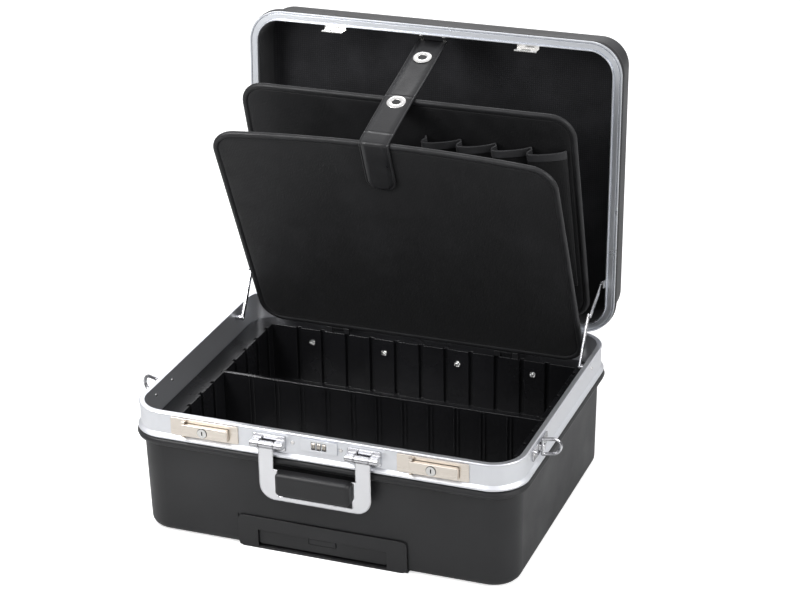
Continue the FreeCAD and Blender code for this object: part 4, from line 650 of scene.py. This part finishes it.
def make_board(name, board, body, materials, seed):
    """A stiff board in a cloth cover, with a rolled leather binding and two hinge loops."""
    random.seed(seed)
    half_thick = BOARD_THICK / 2
    rings, bound_rings = edge_profile(half_thick, half_thick + BINDING_EXTRA / 2)
    ripple = ripples(4, 0.008, 0.02)
    cover = lambda x, up: half_thick + 0.3 + 0.12 * ripple(x, up)
    outline = (board["half"], BOARD_START, board["high"], BOARD_RADIUS)
    flat, faces = rounded_sheet(*outline, rings, cover, BOARD_CELLS)
    points = []
    for side in (-1, 1):
        for x, up, height in flat:
            points.append(on_board(board, x, bow_of(board, x, up) + side * height, up))
    back = [tuple(len(flat) + corner for corner in reversed(face)) for face in faces]
    mesh = mesh_of(name, points, faces + back)
    bound = bound_rings * len(outline_points(*outline, 0, BOARD_CELLS))
    mesh.materials.append(materials["board_cover"])
    mesh.materials.append(materials["binding_leather"])
    for face in mesh.polygons:
        if all(corner % len(flat) < bound for corner in face.vertices):
            face.material_index = 1
    thing = shown(name, mesh, None, body)
    weld(thing)
    cad_name = name.replace("_dressed", "")
    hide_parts(cad_name, cad_name + "_binding")
    for side, word in ((-1, "left"), (1, "right")):
        make_loop(f"{cad_name}_loop_{word}", board, side * LUG_PLACE, body, materials)


def weld(thing):
    """Joins the two halves of a closed form along their shared edge."""
    modifier = thing.modifiers.new("weld", "WELD")
    modifier.merge_threshold = 0.00002


def make_loop(name, board, middle, body, materials):
    """A leather loop that wraps the board's hinge rod and is caught in the binding."""
    section = []
    steps = 14
    for step in range(steps):
        turn = math.radians(-160 + 320 * step / (steps - 1)) - math.pi / 2
        section.append((LUG_RADIUS * math.cos(turn), LUG_RADIUS * math.sin(turn)))
    tail = BOARD_START + BINDING * 0.7
    section += [(LUG_RADIUS * 0.9, tail), (-LUG_RADIUS * 0.9, tail)]
    path = []
    for share, shrink in ((0, 0.82), (0.04, 0.95), (0.1, 1), (0.9, 1), (0.96, 0.95), (1, 0.82)):
        x = middle - LUG_WIDE / 2 + LUG_WIDE * share
        path.append(lambda out, up, x=x, shrink=shrink:
                    on_board(board, x, out * shrink, up * (shrink if up < 0 else 1)))
    loop = shown(name, swept_band(name, path, section), materials["binding_leather"], body)


# Tool pockets

# Across one pocket: a folded pleat at its left, then a front that slopes back to the next seam.
# Each entry is (share of the pocket's width, how far it stands out in millimetres).
POCKET_SECTION = [(0.0, 0.6), (0.035, 2.4), (0.045, 4.6), (0.01, 6.6), (-0.035, 8.6), (-0.045, 11.4),
                  (-0.005, 13.2), (0.07, 13.1), (0.2, 12.0), (0.34, 10.4), (0.48, 8.7), (0.62, 7.0),
                  (0.76, 5.2), (0.88, 3.5), (0.96, 1.8)]


def pocket_point(number, share, out, level, lift=0.0):
    """A point of the pocket sheet: its fullness fades towards the bottom seam."""
    up_share = (level - POCKET_LOW) / (POCKET_TOP - POCKET_LOW)
    fullness = 0.30 + 0.70 * max(up_share, 0) ** 0.6
    crease = 0.6 * math.sin(9 * up_share + 2.3 * number + 5 * share) * min(1, out / 6) * (1 - up_share * 0.5)
    x = POCKET_LEFT + (number + share) * POCKET_PITCH
    sag = (0.2 * out + 1.4 * math.sin(math.pi * min(max(share, 0), 1))) * max(up_share, 0) ** 6
    stand = min(CLOTH_OUT + (out + lift) * fullness + crease * 0.7, POCKET_DEEP)
    return on_board(REAR, x, -BOARD_THICK / 2 - stand, level - sag)


def pocket_sheet(name, levels, lift, thick, material):
    """One cloth strip over all the pockets between the levels, with a real thickness."""
    columns = [(number, share, out) for number in range(POCKETS) for share, out in POCKET_SECTION]
    columns.append((POCKETS - 1, 1.0, SEAM_OUT))
    points = [pocket_point(number, share, out, level, lift) for level in levels
              for number, share, out in columns]
    faces = []
    wide = len(columns)
    for row in range(len(levels) - 1):
        for column in range(wide - 1):
            low = row * wide + column
            faces.append((low, low + 1, low + wide + 1, low + wide))
    thing = shown(name, mesh_of(name, points, faces), material, "rear_board")
    smooth = thing.modifiers.new("smooth", "SUBSURF")
    smooth.levels = smooth.render_levels = 1
    solid = thing.modifiers.new("cloth", "SOLIDIFY")
    solid.thickness = thick * MM
    solid.offset = 0
    return thing


def make_pockets(materials):
    """The pleated pocket strip with its turned hem."""
    levels = [POCKET_LOW + (POCKET_TOP - POCKET_LOW) * share
              for share in (0, 0.01, 0.04, 0.1, 0.2, 0.32, 0.45, 0.58, 0.7, 0.8, 0.88, 0.94, 0.98, 1)]
    cloth = pocket_sheet("pocket_cloth", levels, 0, 0.9, materials["board_cover"])
    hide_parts("tool_pockets")
    hem_low = POCKET_TOP - HEM_HIGH
    hem_levels = [hem_low, hem_low + 0.8, hem_low + 5, hem_low + 8, POCKET_TOP - 0.8, POCKET_TOP + 0.6]
    hem = pocket_sheet("pocket_hem", hem_levels, 0.35, 2.0, materials["hem_tape"])


# Straps

def smooth_path(corners, radius, spacing=3):
    """A path with round bends, as places at most about the spacing apart."""
    path = [corners[0]]
    for before, corner, after in zip(corners, corners[1:], corners[2:]):
        one, two = before - corner, after - corner
        reach = min(radius, one.length / 2, two.length / 2)
        start, end = corner + one.normalized() * reach, corner + two.normalized() * reach
        for step in range(9):
            t = step / 8
            path.append((1 - t) ** 2 * start + 2 * t * (1 - t) * corner + t ** 2 * end)
    path.append(corners[-1])
    dense = [path[0]]
    for place in path[1:]:
        start, run = dense[-1], place - dense[-1]
        pieces = max(1, int(run.length / spacing))
        dense += [start + run * (step + 1) / pieces for step in range(pieces)]
    return dense


# Across the strap, as shares of its half width and its thickness, with a groove for each row of stitches
STRAP_SECTION = [(-1.0, 0.18), (-1.0, 0.62), (-0.985, 0.9), (-0.955, 1.0), (-0.9, 1.02), (-0.885, 0.86),
                 (-0.865, 0.86), (-0.85, 1.03), (-0.5, 1.08), (0.0, 1.1), (0.5, 1.08), (0.85, 1.03),
                 (0.865, 0.86), (0.885, 0.86), (0.9, 1.02), (0.955, 1.0), (0.985, 0.9), (1.0, 0.62),
                 (1.0, 0.18), (0.97, 0.0), (-0.97, 0.0)]


def strap_band(dense, round_end, sag):
    """A leather strap along places (x, y, z), with stitched edges; its far end can be a round tongue."""
    runs = [0.0]
    for before, after in zip(dense, dense[1:]):
        runs.append(runs[-1] + (after - before).length)
    total = runs[-1]
    path = []
    for number, place in enumerate(dense):
        before, after = dense[max(number - 1, 0)], dense[min(number + 1, len(dense) - 1)]
        way = Vector((0, after.y - before.y, after.z - before.z)).normalized()
        normal = Vector((0, way.z, -way.y))
        left = total - runs[number]
        wide = STRAP_HALF
        if round_end and left < STRAP_END:
            wide -= STRAP_END - math.sqrt(max(STRAP_END ** 2 - (STRAP_END - left) ** 2, 1))
        drop = sag * math.sin(math.pi * runs[number] / total)
        base = place - Vector((0, 0, 1)) * drop
        path.append(lambda u, v, base=base, normal=normal, wide=wide:
                    tuple(base + Vector((u * wide, 0, 0)) + normal * (v * STRAP_THICK)))
    return swept_band("strap_leather", path, STRAP_SECTION)


def strap_route():
    """The corners of the strap's route, as in the part's source."""
    root = lid_open(0, LID_HALF_Y - STRAP_ROOT_UP, LID_LOW + STRAP_ROOT_IN)
    rear_top = on_board(REAR, STRAP_SHIFT / 2, 0, REAR["high"] + STRAP_REST)
    out = (BOARD_THICK + BINDING_EXTRA) / 2 + STRAP_SEAT
    high, bow = FRONT["high"], FRONT["bow"]
    back_top = on_board(FRONT, STRAP_SHIFT, bow + out, high + STRAP_SEAT)
    front_top = on_board(FRONT, STRAP_SHIFT, bow - out, high + STRAP_SEAT)
    tail = on_board(FRONT, STRAP_SHIFT, bow * (1 - STRAP_TAIL / high) - out, high - STRAP_TAIL)
    return [Vector(corner) for corner in (root, rear_top, back_top, front_top, tail)]


def oval_ring(name, middle, way, materials, body=None):
    """An oval eyelet across the strap: a rolled flange pressed on the leather, and a black cone in its hole
    as painted shade.
    """
    along = way.normalized()
    normal = Vector((0, along.z, -along.y))
    if normal.z < 0:
        normal = -normal
    long_way = along.cross(normal)
    straight = (EYELET_LONG - EYELET_WIDE) / 2
    steps = 40

    def ring_place(turn, half, lift):
        shift = straight if math.cos(turn) > 0 else -straight
        return (middle + long_way * (shift + half * math.cos(turn)) + along * (half * math.sin(turn))
                + normal * lift)

    outer, inner = EYELET_WIDE / 2, EYELET_WIDE / 5
    section = []
    for step in range(9):
        turn = math.pi * step / 8
        section.append(((outer + inner) / 2 + (outer - inner) / 2 * math.cos(turn), 0.75 * math.sin(turn)))
    section += [(inner - 0.1, -1.6), (inner + 0.5, -1.7), (outer - 0.4, -0.3)]
    path = []
    for step in range(steps):
        turn = 2 * math.pi * (step + 0.5) / steps
        path.append(lambda half, lift, turn=turn: tuple(ring_place(turn, half, lift)))
    mesh = swept_band(name, path, section, True)
    ring = shown(name, mesh, materials["rivet_metal"], body)
    # Painted shade: a black cone closes the eyelet's hole, standing in for the shade inside it
    well = [tuple(ring_place(2 * math.pi * (step + 0.5) / steps, inner + 0.3, -1.1 - 0.02 * (step % 2)))
            for step in range(steps)]
    well_mesh = mesh_of(name + "_well", well + [tuple(middle - normal * 1.35)],
                        [(step, (step + 1) % steps, steps) for step in range(steps)])
    return ring, shown(name + "_well", well_mesh, materials["shade_and_print_black"], body)


def make_straps(materials):
    """The leather strap: a hanging length, a length between the boards and a tongue, with two eyelets."""
    root, rear_top, back_top, front_top, tail = strap_route()
    cover = materials["strap_leather"]
    band = shown("strap_upper_dressed", strap_band(smooth_path([root, rear_top], 1), False, STRAP_SAG), cover)
    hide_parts("strap_upper")
    lower = smooth_path([rear_top, back_top, front_top, tail], 2.2)
    apart = [(place - back_top).length for place in lower]
    neck = max(number for number in range(apart.index(min(apart))) if apart[number] > STRAP_NECK)
    between = shown("strap_between", strap_band(lower[:neck + 1], False, 0), cover, "front_board")
    tongue = shown("strap_tongue", strap_band(lower[neck:], True, 0), cover, "front_board")
    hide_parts("strap_lower")

    # The hanging length runs from its root on the lid to the rear board; it and its eyelet ride on no body,
    # and their transforms are baked
    way = rear_top - root
    first = eyelet_place(root, way, EYELET_FIRST) - Vector((0, 0, 1)) * 0.6
    upper_ring, upper_well = oval_ring("strap_eyelet_upper", first, way, materials)
    for piece in (band, upper_ring, upper_well):
        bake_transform(piece)

    # The length between the boards and its eyelet ride on the front board, each with a mesh of its own
    way = back_top - rear_top
    second = eyelet_place(rear_top, way, EYELET_SECOND)
    lower_ring, lower_well = oval_ring("strap_eyelet_lower", second, way, materials, "front_board")
    for piece in (between, lower_ring, lower_well):
        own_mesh(piece)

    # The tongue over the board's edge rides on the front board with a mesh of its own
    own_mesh(tongue)


def eyelet_place(start, way, run):
    """The middle of an eyelet on top of the strap, a run along it."""
    upward = Vector((0, way.z, -way.y)).normalized() * (1 if way.y < 0 else -1)
    return start + way.normalized() * run + upward * (STRAP_THICK * 1.1)


# Lid lining

def make_lining(materials):
    """A cloth-covered tray in the lid: a rolled rim, walls, soft corners and a slightly uneven back."""
    random.seed(5)
    half_x, half_y = LID_HALF_X - LINING_INSET, LID_HALF_Y - LINING_INSET
    thick, low, cap = LINING_THICK, LINING_LOW + 2, LINING_TOP - LINING_THICK
    rings = [(0.1, LINING_LOW), (0.5, LINING_LOW - 0.25), (thick - 0.5, LINING_LOW - 0.25),
             (thick - 0.1, LINING_LOW + 0.2)]
    rings += [(thick, level) for level in (low, low + 12, low + 26, cap - LINING_BEND)]
    for step in range(1, 6):
        turn = math.radians(90 * step / 5)
        rings.append((thick + LINING_BEND * (1 - math.cos(turn)), cap - LINING_BEND * (1 - math.sin(turn))))
    ripple = ripples(5, 0.012, 0.03)
    back = lambda x, y: cap - 0.25 + 0.25 * ripple(x, y)
    flat, faces = rounded_sheet(half_x, -half_y, half_y, LID_RADIUS - LINING_INSET, rings, back, LINING_CELLS)
    inside = mesh_of("lid_lining_dressed", [lid_open(*point) for point in flat], faces)
    thing = shown("lid_lining_dressed", inside, materials["lining_cloth"], "lid")
    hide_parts("lid_lining")


# Small fittings

def dome(name, centre, out, radius, high, material, body):
    """A rivet head: a low dome with a small rim, its middle at centre, standing along out."""
    out = Vector(out).normalized()
    side = out.orthogonal().normalized()
    other = out.cross(side)
    rings = [(1.0, -0.2), (1.0, 0.25), (0.93, 0.5), (0.75, 0.8), (0.45, 0.96), (0.18, 1.0)]
    steps = 20
    points, faces = [], []
    for share, lift in rings:
        for step in range(steps):
            turn = 2 * math.pi * step / steps
            place = Vector(centre) + (side * math.cos(turn) + other * math.sin(turn)) * radius * share
            points.append(tuple(place + out * high * lift))
    points.append(tuple(Vector(centre) + out * high * 1.01))
    for row in range(len(rings) - 1):
        for step in range(steps):
            after = (step + 1) % steps
            faces.append((row * steps + step, row * steps + after, (row + 1) * steps + after,
                          (row + 1) * steps + step))
    last = (len(rings) - 1) * steps
    faces += [(last + step, last + (step + 1) % steps, len(points) - 1) for step in range(steps)]
    return shown(name, mesh_of(name, points, faces), material, body)


def make_rivets(materials):
    """Rivet heads where the stays and the ring plates are fixed to the frame."""
    metal = materials["rivet_metal"]
    for sign, word in ((-1, "left"), (1, "right")):
        out, inward = (sign, 0, 0), (-sign, 0, 0)
        place_x, place_y, place_z = STAY_RIVET
        dome(f"stay_rivet_{word}", (sign * place_x, place_y, place_z), out, 2.4, 0.9, metal, "base")
        for number, y in enumerate(RING_RIVET_PLACES):
            outside = (sign * RING_RIVET_X, y, RING_RIVET_Z)
            dome(f"ring_rivet_{word}_{number}", outside, out, 1.9, 0.8, metal, "base")
            inside = (sign * RING_RIVET_INNER_X, y, RING_RIVET_Z)
            dome(f"ring_rivet_inner_{word}_{number}", inside, inward, 2.2, 0.8, metal, "base")


def make_key_marks(materials):
    """Painted shade: a black ring for the shaded gap round each key cylinder, and a black sheet for the
    shaded key slot in it.
    """
    painted_shade, half_wide, half_high = materials["shade_and_print_black"], 0.7, 2.6
    for sign, word in ((-1, "left"), (1, "right")):
        middle = sign * LOCK_PLACE
        ring = dome(f"key_gap_shade_{word}", (middle, LEVER_FRONT, LEVER_Z), (0, -1, 0), KEY_RADIUS + 0.7, 0.12,
                    painted_shade, f"lock_lever_{word}")
        corners = [(middle + x * half_wide, LEVER_FRONT - KEY_RISE - 0.05, LEVER_Z + z * half_high)
                   for x, z in ((-1, -1), (1, -1), (1, 1), (-1, 1))]
        mesh = mesh_of(f"key_slot_shade_{word}", corners, [(0, 1, 2, 3)], False)
        shown(f"key_slot_shade_{word}", mesh, painted_shade, f"key_cylinder_{word}")


def make_strap_clips(materials):
    """Two small bent tabs that hold the strap's root to the lid frame."""
    section = [(-2.4, 0), (-2.1, 0.9), (2.1, 0.9), (2.4, 0), (2.1, -0.1), (-2.1, -0.1)]
    runs = [(11.9, 1.2), (13.2, 0.6), (14.2, 1.6), (16, 4.5), (20, 6.6), (24, 7.2)]
    for number, x in enumerate(CLIP_PLACES):
        path = [lambda u, v, x=x, y=y - LID_HALF_Y, z=z + LID_LOW: lid_open(x + u, y, z - v)
                for y, z in runs]
        name = f"strap_clip_{number}"
        shown(name, swept_band(name, path, section), materials["rivet_metal"], "lid")


def flat_digit(digit):
    """The mesh of one printed digit, lying flat, in millimetres."""
    curve = bpy.data.curves.new("digit", "FONT")
    curve.body = str(digit)
    curve.size = 3.0
    curve.align_x = "CENTER"
    curve.align_y = "CENTER"
    curve.resolution_u = 3
    thing = bpy.data.objects.new("digit", curve)
    bpy.context.scene.collection.objects.link(thing)
    bpy.context.view_layer.update()
    flat = bpy.data.meshes.new_from_object(thing)
    bpy.data.objects.remove(thing)
    return flat


def make_dial_numbers(materials):
    """The digits 0 to 9 round each number dial."""
    reach = DIAL_RADIUS + 0.03
    for number in range(3):
        middle = DIAL_MIDDLE + (number - 1) * DIAL_PITCH
        points, faces = [], []
        for digit in range(10):
            flat = flat_digit(digit)
            faces += [tuple(len(points) + corner for corner in face.vertices) for face in flat.polygons]
            turn = math.radians(36 * (digit + 3 * number))
            for vertex in flat.vertices:
                angle = turn + vertex.co.y / DIAL_RADIUS
                points.append((middle + vertex.co.x, DIAL_Y - reach * math.cos(angle),
                               DIAL_Z + reach * math.sin(angle)))
        name = f"dial_digits_{number + 1}"
        digits = shown(name, mesh_of(name, points, faces, False), materials["shade_and_print_black"],
                       f"number_dial_{number + 1}")


def round_edges(name, wide, angle=40):
    """A small rounding on the sharp edges of a bright solid, so that its edges catch the light."""
    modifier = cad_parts[name].modifiers.new("edge", "BEVEL")
    modifier.width = wide * MM
    modifier.segments = 3
    modifier.limit_method = "ANGLE"
    modifier.angle_limit = math.radians(angle)
    modifier.harden_normals = False


def main():
    """Builds the stage, dresses the CAD nodes and adds the soft pieces and small fittings."""
    add_camera()
    add_world()
    add_floor()
    for name, (place, size, power) in LAMPS.items():
        add_lamp(name, place, size, power)
    materials = make_materials()
    dress_cad(materials)
    round_edges("handle_bow", 1.3)
    make_board("front_board_dressed", FRONT, "front_board", materials, 1)
    make_board("rear_board_dressed", REAR, "rear_board", materials, 2)
    make_pockets(materials)
    make_straps(materials)
    make_lining(materials)
    make_rivets(materials)
    make_key_marks(materials)
    make_strap_clips(materials)
    make_dial_numbers(materials)
    bpy.context.scene.view_settings.view_transform = "Standard"


main()
